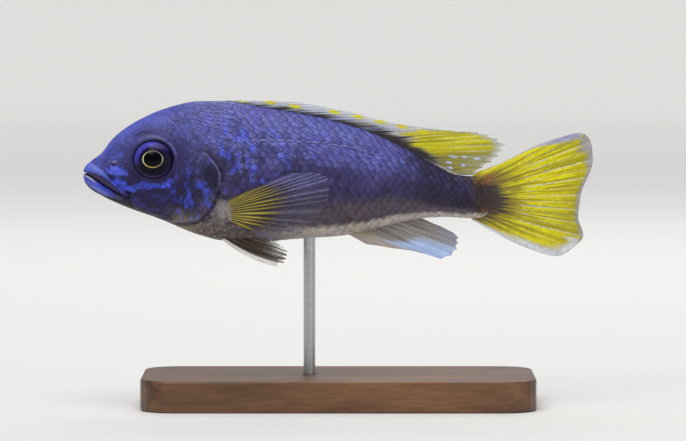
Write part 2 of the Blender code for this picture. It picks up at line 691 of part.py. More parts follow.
def build_body(parts, cutters, details, paint):
    """Head, lower jaw, gill covers, trunk and tail stalk."""
    trunk = body_loft("trunk", TRUNK_STATIONS, parts)
    stalk = body_loft("tail_stalk", [STALK_CUT + GAP] + STALK_STATIONS[1:], parts)
    cover_outline = path(COVER_OUTLINE, 36, closed=True)
    inside = body_loft("cover_inside", COVER_STATIONS, cutters, grow=-COVER_THICKNESS)
    pocket_floor = body_loft("pocket_floor", COVER_STATIONS, cutters, grow=-COVER_THICKNESS - GAP)
    pockets = {}
    for side, word in ((-1, "left"), (1, "right")):
        cover = body_loft(f"gill_cover_{word}", COVER_STATIONS, parts, grow=cover_growth)
        low, high = sorted((side * COVER_INNER_SIDE, side * CUT_REACH))
        combine(cover, prism(f"cover_outline_{word}", cover_outline, cutters, low, high), "INTERSECT")
        combine(cover, inside, "DIFFERENCE")
        finish(settle(cover), paint["blue"])
        pocket = prism(f"pocket_{word}", outline_grown(cover_outline, GAP), cutters, low, high)
        combine(pocket, pocket_floor, "DIFFERENCE")
        pockets[side] = settle(pocket)
        combine(trunk, pocket, "DIFFERENCE")
    combine(trunk, prism("ahead_of_neck", neck_outline(GAP / 2, False), cutters), "DIFFERENCE")
    combine(trunk, rod("rod_socket", ROD_RADIUS + GAP, GAP, cutters), "DIFFERENCE")
    build_head(parts, cutters, details["head"], pockets, paint)
    build_jaw(parts, cutters, details["jaw"], paint)
    for made in (trunk, stalk):
        finish(settle(made), paint["blue"])


def build_fins(parts, cutters, paint):
    """Seven fins, each cut clear of the body by the gap."""
    stations = TRUNK_STATIONS + STALK_STATIONS[1:]
    near = body_loft("body_clearance", stations, cutters, grow=GAP)
    for shape in FINS:
        made = fin(*shape, parts)
        combine(made, near, "DIFFERENCE", "MANIFOLD")
        finish(settle(made), paint["yellow"], FIN_SMOOTH_ANGLE)


def rod(name, radius, extra, collection):
    """The stand's rod, from inside the base to inside the belly."""
    foot = BASE_THICKNESS - ROD_INTO_BASE - extra
    head = AXIS_HEIGHT + along(BELLY_LINE, ROD_AT) + ROD_INTO_BODY + extra
    bpy.ops.mesh.primitive_cylinder_add(
        vertices=ROD_SIDES, radius=radius * MM, depth=(head - foot) * MM,
        location=((ROD_AT - TOTAL_LENGTH / 2) * MM, 0, (head + foot) / 2 * MM),
    )
    made = bpy.context.object
    made.name = name
    for old in made.users_collection:
        old.objects.unlink(made)
    collection.objects.link(made)
    return made


def build_stand(parts, cutters, paint):
    """A rounded slab and one rod up into the belly."""
    outline = []
    centres = [(1, 1, 0), (-1, 1, 90), (-1, -1, 180), (1, -1, 270)]
    for x, y, start in centres:
        for k in range(CORNER_STEPS + 1):
            turn = math.radians(start + 90 * k / CORNER_STEPS)
            outline.append((
                (x * (BASE_LENGTH / 2 - BASE_CORNER) + BASE_CORNER * math.cos(turn)) * MM,
                (y * (BASE_WIDTH / 2 - BASE_CORNER) + BASE_CORNER * math.sin(turn)) * MM,
            ))
    data = bpy.data.curves.new("stand_base", "CURVE")
    data.dimensions = "2D"
    data.fill_mode = "BOTH"
    data.extrude = BASE_THICKNESS / 2 * MM
    spline = data.splines.new("POLY")
    spline.points.add(len(outline) - 1)
    for point, (x, y) in zip(spline.points, outline):
        point.co = (x, y, 0, 1)
    spline.use_cyclic_u = True
    base = link("stand_base", data, parts)
    base.location.z = BASE_THICKNESS / 2 * MM
    base = mesh_of(base)
    edge = base.modifiers.new("Edge", "BEVEL")
    edge.width = BASE_EDGE * MM
    edge.segments = 2
    edge.limit_method = "ANGLE"
    edge.angle_limit = math.radians(40)
    combine(base, rod("base_socket", ROD_RADIUS + GAP, GAP, cutters), "DIFFERENCE")
    finish(settle(base), paint["base"])
    post = rod("stand_rod", ROD_RADIUS, 0.0, parts)
    finish(settle(post), paint["rod"])


def main():
    for old in list(bpy.data.objects):
        bpy.data.objects.remove(old)
    parts = bpy.data.collections.new("Yellow tail acei")
    cutters = bpy.data.collections.new("Cutters")
    details = {name: bpy.data.collections.new(f"Details of the {name}") for name in ("head", "jaw")}
    for collection in (parts, cutters, *details.values()):
        bpy.context.scene.collection.children.link(collection)
    paint = {
        "blue": material("Blue skin", *BLUE_SKIN),
        "yellow": material("Yellow fin", *YELLOW_FIN),
        "eye": material("Eye", *BLACK_EYE),
        "base": material("Dark oiled wood", *OILED_WOOD),
        "rod": material("Brushed steel", *BRUSHED_STEEL),
    }
    build_body(parts, cutters, details, paint)
    build_fins(parts, cutters, paint)
    build_stand(parts, cutters, paint)
    for helper in cutters.objects:
        helper.hide_render = True
        helper.display_type = "WIRE"


main()
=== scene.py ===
import math

import bmesh
import bpy
import numpy as np
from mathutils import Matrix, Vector


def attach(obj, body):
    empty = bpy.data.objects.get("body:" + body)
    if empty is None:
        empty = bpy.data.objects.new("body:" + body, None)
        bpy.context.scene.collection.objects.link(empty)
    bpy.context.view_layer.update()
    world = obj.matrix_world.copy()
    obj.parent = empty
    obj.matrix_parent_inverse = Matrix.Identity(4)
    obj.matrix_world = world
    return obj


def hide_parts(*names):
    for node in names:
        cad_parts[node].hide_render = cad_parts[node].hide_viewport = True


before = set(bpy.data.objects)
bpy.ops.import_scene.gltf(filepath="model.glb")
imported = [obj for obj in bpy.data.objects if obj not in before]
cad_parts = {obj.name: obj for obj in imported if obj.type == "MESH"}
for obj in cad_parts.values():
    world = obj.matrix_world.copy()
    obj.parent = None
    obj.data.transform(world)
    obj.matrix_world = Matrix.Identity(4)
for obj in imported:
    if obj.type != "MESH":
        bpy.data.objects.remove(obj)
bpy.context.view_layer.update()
mm = 0.001

# Places are given as on a drawing of the side of the fish, in millimetres: s behind the tip of the
# snout, h above the fish's axis, and out to its right of the middle plane, which bends at the tail.


def smoothCurve(points, rooted=False):
    # a line through the points that never swings past them; a rooted one is blunt at s = 0
    xs = np.array([p[0] for p in points], float)
    xs = np.sqrt(xs) if rooted else xs
    ys = np.array([p[1] for p in points], float)
    gaps = np.diff(xs)
    slopes = np.diff(ys) / gaps
    agree = slopes[:-1] * slopes[1:] > 0
    middle = np.where(agree, 2 * slopes[:-1] * slopes[1:] / np.where(agree, slopes[:-1] + slopes[1:], 1), 0)
    tangents = np.concatenate([slopes[:1], middle, slopes[-1:]])

    def at(s):
        s = np.asarray(s, float)
        x = np.clip(np.sqrt(np.maximum(s, 0)) if rooted else s, xs[0], xs[-1])
        i = np.clip(np.searchsorted(xs, x) - 1, 0, len(gaps) - 1)
        t = (x - xs[i]) / gaps[i]
        ends = ys[i] * (1 + 2 * t) * (1 - t) ** 2 + ys[i + 1] * t * t * (3 - 2 * t)
        turns = tangents[i] * t * (1 - t) ** 2 - tangents[i + 1] * t * t * (1 - t)
        return ends + gaps[i] * turns

    return at


def step(low, high, x):
    t = np.clip((x - low) / (high - low), 0, 1)
    return t * t * (3 - 2 * t)


def swell(x, width):
    return np.exp(-((x / width) ** 2))


def band(x, start, full, fade, end):
    # rises from 0 at start to 1 at full, and falls from fade to 0 at end
    return step(start, full, x) * step(end, fade, x)


def grain(seed, *places):
    # soft noise from 0 to 1 with one cell per unit, the same in each run
    table = np.random.default_rng(seed).random(4096)
    places = np.broadcast_arrays(*[np.asarray(p, float) for p in places])
    cells = [np.floor(p).astype(np.int64) for p in places]
    parts = [p - c for p, c in zip(places, cells)]
    parts = [t * t * (3 - 2 * t) for t in parts]
    total = 0.0
    for corner in np.ndindex(*(2,) * len(places)):
        weight, key = 1.0, np.zeros(places[0].shape, np.int64)
        for part, cell, far, stride in zip(parts, cells, corner, (15731, 789221, 1376312589)):
            weight = weight * (part if far else 1 - part)
            key = key + (cell + far) * stride
        key = (key ^ (key >> 13)) * 60493
        total = total + weight * table[(key ^ (key >> 7)) % len(table)]
    return total


def fromLine(points, s, h):
    # distance from a broken line, less than 0 on its right hand, and the share of its length passed there
    points = np.array(points, float)
    runs = np.diff(points, axis=0)
    lengths = np.linalg.norm(runs, axis=1)
    passed = np.concatenate([[0], np.cumsum(lengths)])
    nearest = np.full(np.shape(s), 1e9)
    share = np.zeros(np.shape(s))
    side = np.ones(np.shape(s))
    for k, (start, run, length) in enumerate(zip(points, runs, lengths)):
        ds, dh = s - start[0], h - start[1]
        t = np.clip((ds * run[0] + dh * run[1]) / length**2, 0, 1)
        far = np.hypot(ds - t * run[0], dh - t * run[1])
        closer = far < nearest
        nearest = np.where(closer, far, nearest)
        share = np.where(closer, (passed[k] + t * length) / passed[-1], share)
        side = np.where(closer, np.sign(run[0] * dh - run[1] * ds), side)
    return nearest * np.where(side == 0, 1, side), share


def linear(hexColour):
    # an sRGB hex colour as linear light
    values = [int(hexColour[k : k + 2], 16) / 255 for k in (1, 3, 5)]
    return np.array([c / 12.92 if c <= 0.04045 else ((c + 0.055) / 1.055) ** 2.4 for c in values])


def mixed(tone, hexColour, share):
    share = np.clip(share, 0, 1)[..., None]
    return tone * (1 - share) + linear(hexColour) * share


def painted(tone, paint, layers):
    # lays colours over the tone in turn: each layer is a name in the paint box and its share at each place
    for name, share in layers:
        tone = mixed(tone, paint[name], share)
    return tone


def ground(places, hexColour):
    # an even coat of one colour to paint on
    return np.zeros(np.shape(places) + (3,)) + linear(hexColour)


bodyForm = {
    "length": 130.0,
    "axisHeight": 55.0,
    "bodyEnd": 105.4,
    "tailRoot": 100.0,
    "tailAxis": -2.0,
    "tailSway": 3.2,
    "swayStart": 60.0,
    "swayPower": 1.8,
    "back": [
        (0, 4.3), (0.25, 5.5), (1.0, 6.5), (2.9, 8.1), (4.3, 9.1), (5.5, 10.5), (6.8, 12.3), (9.3, 14.7),
        (14.4, 18.0), (22, 21.1), (29.7, 22.6), (36, 22.6), (45, 21.2), (60.3, 18.4), (70.5, 15.6),
        (80.7, 11.2), (90.9, 5.7), (95.5, 3.7), (100, 3.4), (106, 3.4),
    ],
    "belly": [
        (0, 4.3), (0.15, 2.7), (0.6, 1.6), (1.7, 0.4), (5.5, -1.9), (11.9, -4.7), (19.5, -7.4), (29.7, -11.5),
        (36, -12.9), (45, -13.1), (55, -12.4), (65.4, -11.7), (75.6, -9.5), (85.8, -7.3), (92, -6.9),
        (100, -7.3), (106, -7.3),
    ],
    "halfWidth": [
        (0, 0), (0.25, 1.5), (1.5, 2.7), (4, 3.7), (8, 4.7), (14, 6.1), (20, 7.1), (28, 8.1), (36, 8.7),
        (45, 8.6), (58, 7.7), (70, 6.3), (82, 4.5), (92, 3.0), (100, 1.9), (103, 1.25), (106, 0.8),
    ],
    "widestShare": [(0, 0.5), (6, 0.42), (16, 0.46), (34, 0.47), (60, 0.48), (106, 0.5)],
    "backFullness": [(0, 1.0), (6, 0.86), (17, 0.84), (30, 0.98), (50, 1.12), (80, 1.15), (106, 1.0)],
    "bellyFullness": [(0, 1.0), (6, 0.85), (20, 0.9), (36, 0.84), (60, 0.84), (80, 0.95), (106, 1.0)],
    "finPad": (36.0, -5.2),  # the muscle pad under the pectoral fin
    "finPadSize": (2.6, 3.4),
    "finPadHeight": 0.9,
}
bodyLines = {name: smoothCurve(line, True) for name, line in bodyForm.items() if isinstance(line, list)}


def pastRoot(s):
    # from 0 at the tail's root to 1 at the end of the body inside the fin
    return np.clip((s - bodyForm["tailRoot"]) / (bodyForm["bodyEnd"] - bodyForm["tailRoot"]), 0, 1)


def section(s):
    top, bottom, half = (bodyLines[name](s) for name in ("back", "belly", "halfWidth"))
    closing = np.sqrt(1 - pastRoot(s) ** 2)
    axis = bodyForm["tailAxis"]
    top, bottom = axis + (top - axis) * closing, axis + (bottom - axis) * closing
    widest = bottom + bodyLines["widestShare"](s) * (top - bottom)
    return top, bottom, half, widest, bodyLines["backFullness"](s), bodyLines["bellyFullness"](s)


def aroundBody(s, angle):
    # the plain body at s, with the angle from the back round by the fish's right side
    top, bottom, half, widest, backFull, bellyFull = section(s)
    rise, side = np.cos(angle), np.sin(angle)
    fullness = np.where(rise > 0, backFull, bellyFull)
    out = np.sign(side) * np.abs(side) ** fullness * half
    h = widest + rise * np.where(rise > 0, top - widest, widest - bottom)
    padS, padH = bodyForm["finPad"]
    wideS, wideH = bodyForm["finPadSize"]
    past = pastRoot(s)
    out = out * (0.02 + 0.98 * (1 - past) ** 1.5) * np.abs(side) ** (1.2 * past)
    pad = bodyForm["finPadHeight"] * np.exp(-(((s - padS) / wideS) ** 2) - ((h - padH) / wideH) ** 2)
    return np.stack([s, out + np.sign(out) * pad * step(0.5, 2, np.abs(out)), h], -1)


def skinOut(s, h):
    # how far the plain skin stands out at a place in side view
    top, bottom, half, widest, backFull, bellyFull = section(s)
    reach = np.where(h > widest, top - widest, widest - bottom)
    fullness = np.where(h > widest, backFull, bellyFull)
    rise = np.minimum(0.999, np.abs(h - widest) / np.maximum(reach, 1e-6))
    return half * (1 - rise**2) ** (fullness / 2)


def inFrame(points):
    # places in millimetres, as (s, out, h), to metres in the row's frame
    form = bodyForm
    s, out, h = points[..., 0], points[..., 1], points[..., 2]
    bent = np.maximum(0, (s - form["swayStart"]) / (form["length"] - form["swayStart"])) ** form["swayPower"]
    return np.stack([s - form["length"] / 2, out + form["tailSway"] * bent, h + form["axisHeight"]], -1) * mm


def newPiece(name, mesh, replaced=()):
    # a finished piece, which rides on the fish's one body
    made = bpy.data.objects.new(name, mesh)
    bpy.context.scene.collection.objects.link(made)
    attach(made, "root")
    if replaced:
        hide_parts(*replaced)
    return made


def meshFrom(work, name):
    mesh = bpy.data.meshes.new(name)
    work.to_mesh(mesh)
    work.free()
    mesh.polygons.foreach_set("use_smooth", [True] * len(mesh.polygons))
    return mesh


def turnedMesh(name, profile, sides):
    # a profile of (radius, height) turned once round
    work = bmesh.new()
    verts = [work.verts.new((r, 0, z)) for r, z in profile]
    edges = [work.edges.new(pair) for pair in zip(verts, verts[1:])]
    once = {"cent": (0, 0, 0), "axis": (0, 0, 1), "angle": 2 * math.pi}
    bmesh.ops.spin(work, geom=verts + edges, steps=sides, use_merge=True, **once)
    bmesh.ops.remove_doubles(work, verts=work.verts[:], dist=1e-4)
    bmesh.ops.recalc_face_normals(work, faces=work.faces[:])
    return meshFrom(work, name)


def meshPoints(mesh):
    flat = np.empty(len(mesh.vertices) * 3)
    mesh.vertices.foreach_get("co", flat)
    return flat.reshape(-1, 3)


def setPoints(mesh, points):
    mesh.vertices.foreach_set("co", points.astype(np.float32).ravel())
    mesh.update()


def thicken(made, thickness, offset):
    shell = made.modifiers.new("Thickness", "SOLIDIFY")
    shell.thickness = thickness * mm
    shell.offset = offset
    return shell


def faceOutward(mesh):
    work = bmesh.new()
    work.from_mesh(mesh)
    bmesh.ops.recalc_face_normals(work, faces=work.faces[:])
    work.to_mesh(mesh)
    work.free()


def repeatedMesh(name, shape, points):
    # one mesh of many copies of a small shape, each with its corners at a row of points, in millimetres
    faces = np.array([[vert.index for vert in face.verts] for face in shape.faces])
    faces = faces[None] + np.arange(len(points))[:, None, None] * len(shape.verts)
    shape.free()
    mesh = bpy.data.meshes.new(name)
    mesh.from_pydata(inFrame(points).reshape(-1, 3).tolist(), [], faces.reshape(-1, faces.shape[2]).tolist())
    mesh.polygons.foreach_set("use_smooth", [True] * len(mesh.polygons))
    return mesh


def setTone(mesh, tone, clear=None):
    # paints the mesh: a colour at each point, and how solid it is there
    solid = np.ones(len(tone)) if clear is None else clear
    layer = mesh.color_attributes.new(name="tone", type="FLOAT_COLOR", domain="POINT")
    layer.data.foreach_set("color", np.column_stack([tone, solid]).astype(np.float32).ravel())


def addNode(tree, kind, settings=None, links=None):
    node = tree.nodes.new(kind)
    for name, value in (settings or {}).items():
        if isinstance(name, int) or name in node.inputs:
            node.inputs[name].default_value = value
        else:
            setattr(node, name, value)
    for name, source in (links or {}).items():
        tree.links.new(source, node.inputs[name])
    return node


# Camera: the photo's side view, a little above the fish's axis, in millimetres
view = {"aim": (1.17, 0.0, 47.2), "distance": 1214.8, "rise": 3.0, "lens": 250.0, "sensor": 36.0}
cameraData = bpy.data.cameras.new("sideCamera")
cameraData.lens = view["lens"]
cameraData.sensor_width = view["sensor"]
cameraData.clip_start = 0.01
camera = bpy.data.objects.new("sideCamera", cameraData)
bpy.context.scene.collection.objects.link(camera)
rise = math.radians(view["rise"])
aim = Vector(view["aim"]) * mm
camera.location = aim + Vector((0, -math.cos(rise), math.sin(rise))) * view["distance"] * mm
camera.rotation_euler = (aim - camera.location).to_track_quat("-Z", "Y").to_euler()
bpy.context.scene.camera = camera
bpy.context.scene.view_settings.view_transform = "Standard"
print("camera placed")

# The eye sits in the head square to the skin, and the skin is shaped round it
eyeForm = {
    "at": (18.05, 8.0),
    "radius": 5.1,
    "halfDepth": 2.7,
    "standsOut": 1.8,
    "shape": (1.02, 0.94),  # how wide and how high for its radius
    "ring": (2.5, 2.2),  # half width and half height of the gold ring round the pupil
    "ringAt": (0.2, 0.05),
    "ringWidth": 0.062,
    "ringHeight": 0.07,
}


def eyeAxes(side):
    # the eyeball's centre, then its outward, rearward and upward directions
    s, h = eyeForm["at"]
    reach = 0.4
    slopeS = skinOut(s - reach, h) - skinOut(s + reach, h)
    slopeH = skinOut(s, h - reach) - skinOut(s, h + reach)
    outward = np.array([slopeS, side * 2 * reach, slopeH])
    outward /= np.linalg.norm(outward)
    centre = np.array([s, side * skinOut(s, h), h]) + outward * (eyeForm["standsOut"] - eyeForm["halfDepth"])
    upward = np.array([0.0, 0.0, 1.0]) - outward * outward[2]
    upward /= np.linalg.norm(upward)
    rearward = np.cross(upward, outward) * side
    rearward *= np.sign(rearward[0])
    return centre, outward, rearward, upward


# Relief of the skin
headForm = {
    "upperLip": [(0.0, 4.75), (2.0, 4.7), (4.2, 4.1), (6.8, 2.55), (8.8, 0.75), (10.4, -0.9), (11.0, -1.45)],
    "lowerLip": [(0.0, 4.15), (1.6, 3.45), (3.7, 2.1), (5.5, 0.85), (7.4, -0.25), (9.4, -1.2), (11.0, -1.75)],
    "lipFold": [
        (1.4, 7.4), (2.2, 7.0), (3.6, 6.25), (5.5, 4.85), (7.4, 2.85), (8.8, 1.4), (10.6, 0.05), (11.9, -0.8),
    ],
    "mouthDepth": 1.3,
    "slitHeight": 0.26,  # above the lower lip
    "cornerFold": [(11.3, -0.4), (12.0, -0.95), (11.9, -1.6), (11.3, -2.1), (10.5, -2.4)],
    "jawLine": [(11.0, -1.6), (12.4, -3.2), (13.8, -5.4), (14.6, -9.0)],
    "nostrilFlap": (8.0, 7.2),
    "nostrilSlit": (7.8, 6.6),
    "cheekFold": [(24.6, 3.5), (24.3, 0.5), (24.1, -1.8), (23.3, -5.2), (20.8, -6.6), (16.1, -5.7)],
    "browFold": [(12.1, 13.5), (15.5, 14.6), (19.5, 14.3)],
    "ribbon": [(8.6, 2.4), (12.2, 0.4), (15.6, 1.7), (19.8, 1.4), (21.6, 1.9), (23.2, 3.7)],  # under the eye
    "coverDash": [(29.6, 1.4), (32.4, 2.9)],
    "gillEdge": [
        (30.0, 10.6), (31.4, 9.7), (32.5, 8.6), (33.8, 6.9), (34.7, 5.6), (35.2, 4.1), (35.0, 1.3),
        (34.0, -1.8), (32.5, -4.6), (31.0, -6.5), (29.0, -7.8), (26.0, -8.2), (22.0, -8.1), (19.0, -7.5),
    ],
}
upperLipLine = smoothCurve(headForm["upperLip"])
lowerLipLine = smoothCurve(headForm["lowerLip"])
lipFoldLine = smoothCurve(headForm["lipFold"])


def lipPlaces(s, h):
    # share up the outer lip, share down its inner roll, and mm below the mouth's lower edge
    crest, low = upperLipLine(s), lowerLipLine(s)
    fold = np.maximum(lipFoldLine(s), crest + 0.5)
    slope = (lowerLipLine(s + 0.05) - lowerLipLine(s - 0.05)) / 0.1
    up, down = (h - crest) / (fold - crest), (crest - h) / np.maximum(crest - low, 0.3)
    return up, down, (low - h) / np.sqrt(1 + slope**2)


def bead(x):
    # a rounded ridge over x from -1 to 1
    return np.clip(1 - np.abs(x) ** 2.4, 0, 1)


def inMouth(s, h):
    below = lipPlaces(s, h)[2]
    return step(0.3, 0.16, np.abs(below + headForm["slitHeight"])) * step(11.2, 10.4, s)


def nostrilPlaces(s, h):
    # how far from the flap over the nostril and from the slit below it, in their own half sizes
    flap, slit = headForm["nostrilFlap"], headForm["nostrilSlit"]
    overFlap = np.hypot((s - flap[0]) / 0.85, (h - flap[1]) / 0.45)
    return overFlap, np.hypot((s - slit[0]) / 0.62, (h - slit[1] - 0.25 * (s - slit[0]) ** 2) / 0.24)


def skinRelief(points):
    # how far each point of the plain body moves out along its normal
    s, out, h = points[..., 0], points[..., 1], points[..., 2]
    up, down, below = lipPlaces(s, h)
    ahead = step(12.0, 10.6, s)
    strong = 0.04 + 0.96 * step(0.3, 3.2, s)
    outer = 1 - step(0.55, 1.0, up)
    inner = np.clip(1 - 1.9 * np.clip(down, 0, 1) ** 2, -1, 1)
    relief = 0.46 * np.where(up > 0, outer, inner * (below < 0)) * ahead * strong
    foldDepth = 0.26 * (0.4 * step(1.2, 2.4, s) + 0.6 * step(3.5, 6.5, s))
    relief -= foldDepth * swell(fromLine(headForm["lipFold"], s, h)[0], 0.28)
    lowerLip = step(11.4, 9.6, s)
    taper = 0.17 * np.clip(s - 4, 0, 6)
    relief += 0.46 * bead(below / (1.05 - taper / 2) - 1) * lowerLip * strong
    relief -= 0.2 * swell(below - 2.1 + taper, 0.3) * lowerLip * step(1.5, 4, s)
    relief -= headForm["mouthDepth"] * inMouth(s, h)
    side = np.abs(out) > 0.6
    far, share = fromLine(headForm["cornerFold"], s, h)
    relief -= 0.5 * swell(far, 0.34) * step(1.0, 0.7, share) * side
    relief -= 0.16 * swell(fromLine(headForm["jawLine"], s, h)[0], 0.35) * side
    overFlap, overSlit = nostrilPlaces(s, h)
    relief += (0.28 * swell(overFlap, 0.8) - 0.5 * step(1.2, 0.5, overSlit)) * side
    far, share = fromLine(headForm["cheekFold"], s, h)
    ends = band(share, 0, 0.2, 0.8, 1.0)
    relief += (0.2 * swell(far + 0.35, 0.55) - 0.16 * swell(far - 0.35, 0.35)) * ends
    far, share = fromLine(headForm["browFold"], s, h)
    relief -= 0.16 * swell(far, 0.4) * band(share, 0, 0.15, 0.85, 1.0) * side
    far, share = fromLine(headForm["gillEdge"], s, h)
    near = band(share, 0.0, 0.1, 0.8, 1.0) * side
    cover = step(25, 32.5, s) * band(far, -9, -1, -0.12, 0.12)
    relief += near * (0.42 * cover + 0.14 * swell(far + 0.45, 0.35) - 0.3 * swell(far - 0.35, 0.4))
    for facing in (-1, 1):
        centre, outward, rearward, upward = eyeAxes(facing)
        reach = points - centre
        across = np.hypot(reach @ rearward / eyeForm["shape"][0], reach @ upward / eyeForm["shape"][1])
        here = (reach @ outward > -4) * (np.sign(out) == facing)
        past = across - eyeForm["radius"]
        low = 0.3 + 0.1 * np.clip(-(reach @ upward) / 5, -1, 1)
        socket = 0.3 * swell(past - 0.45, 0.38) * step(-0.25, 0.1, past) - 2.4 * step(0.05, -0.55, past)
        relief += here * (socket + 0.12 * swell(past - 1.7, 0.5) - low * 0.4 * swell(past - 1.15, 0.3))
    return relief


skinForm = {
    "lips": (13.0, 100),  # to s, rings; these crowd towards the snout
    "rings": [(13.0, 36.5, 118), (36.5, 105.3, 78)],  # from s, to s, rings
    "turns": 300,
}


def normalsOf(points):
    # outward normals of a grid of rings
    alongRing = np.roll(points, -1, 1) - np.roll(points, 1, 1)
    alongBody = np.gradient(points, axis=0)
    normals = np.cross(alongBody, alongRing)
    lengths = np.linalg.norm(normals, axis=-1, keepdims=True)
    normals = normals / np.maximum(lengths, 1e-9)
    normals[0] = (-1, 0, 0)
    normals[-1] = (1, 0, 0)
    return normals


lipEnd, lipRings = skinForm["lips"]
ringPlaces = [np.linspace(0, math.sqrt(lipEnd), lipRings + 1)[:-1] ** 2]
for low, high, count in skinForm["rings"]:
    ringPlaces.append(np.linspace(low, high, count + 1)[:-1])
ringPlaces = np.concatenate(ringPlaces + [[high, bodyForm["bodyEnd"]]])
ringCount, turnCount = len(ringPlaces), skinForm["turns"]
turnAngles = 2 * math.pi * np.arange(turnCount) / turnCount
plainBody = aroundBody(*np.broadcast_arrays(ringPlaces[:, None], turnAngles[None, :]))
plainBody[-1] = (bodyForm["bodyEnd"], 0, bodyForm["tailAxis"])
shapedBody = plainBody + normalsOf(plainBody) * skinRelief(plainBody)[..., None]
shapedBody[0] = shapedBody[0].mean(0)
shapedNormals = normalsOf(shapedBody)
print("skin shaped:", ringCount, "rings of", turnCount)

lineForm = {
    "route": [
        (36.3, 11.2), (38.1, 12.2), (39.9, 12.8), (46, 13.1), (52.7, 12.8), (62.9, 12.0), (69.2, 10.7),
        (73.0, 9.7), (78.2, 8.6),
    ],
    "size": (1.0, 0.17, 0.14),  # half length, half height, half depth
    "pitch": 2.3,
    "lift": 0.17,
    "colour": "#9092C8",
    "seed": 61,
}
lineHeight = smoothCurve(lineForm["route"])

# Markings, with painted shade and painted highlights among them, painted alike on the skin and on the scales
# over it
skinPaint = {
    "flank": "#3D3562", "flankDark": "#2C2549", "back": "#54569E", "crown": "#424694", "cheek": "#1B1241",
    "snoutSide": "#322D62", "cheekBlot": "#3A3590", "lowBrown": "#544A52", "belly": "#7B7160",
    "ventral": "#CAC1BA", "stalk": "#251D33", "stalkLow": "#6F6570", "tailBase": "#8A5236",
    "tailOchre": "#6E5C22", "tailDark": "#33272C", "flash": "#4258E4", "violet": "#524688",
    "glow": "#8086CC", "lip": "#3B4ABA", "lipShade": "#372C52", "lipRear": "#332E68", "lipEnd": "#544C6C",
    # jaw: painted shade under the head, the jaw and the lower lip
    "lipInner": "#A8A6CE", "lipShine": "#7F86CC", "gum": "#B5A89E", "jaw": "#17121E", "chin": "#3A2A30",
    # fold: painted shade in the creases of the lips, brow, cheek and gill cover and round the eye
    # mouth: painted shade in the mouth slit, at its corner and in the nostril slit
    # the gill cover's rim colour is a painted highlight
    "mouth": "#0E0A1C", "gill": "#191432", "gillRimHighlight": "#8B86C4", "finPad": "#928B88", "fold": "#1E193A",
    # socket: painted shade over the eye socket
    "socket": "#291F50",
}


def tailRootTone(tone, s, h):
    # the dark ragged patch where the tail fin grows from the body, alike on the skin and on the fin
    turn, far = np.arctan2(h + 2.2, s - 88), np.hypot(h + 2.2, s - 88)
    streaks = grain(57, turn * 42, far * 0.3) - 0.5
    fromStump = np.hypot((s - 102.2) / 5.6, (h + 2.6) / 4.8)
    return painted(tone, skinPaint, [
        ("tailOchre", step(2.2, 1.0, fromStump + 0.9 * streaks) * 0.7),
        ("tailDark", step(1.25, 0.75, fromStump + 0.6 * streaks) * 0.95),
        ("tailBase", swell(s - 103.2, 2.4) * swell(h - 3.0 + 2 * streaks, 1.1) * 0.8),
        ("tailBase", swell(s - 102.0, 1.2) * swell(h + 5.6, 0.8) * 0.5),
    ])


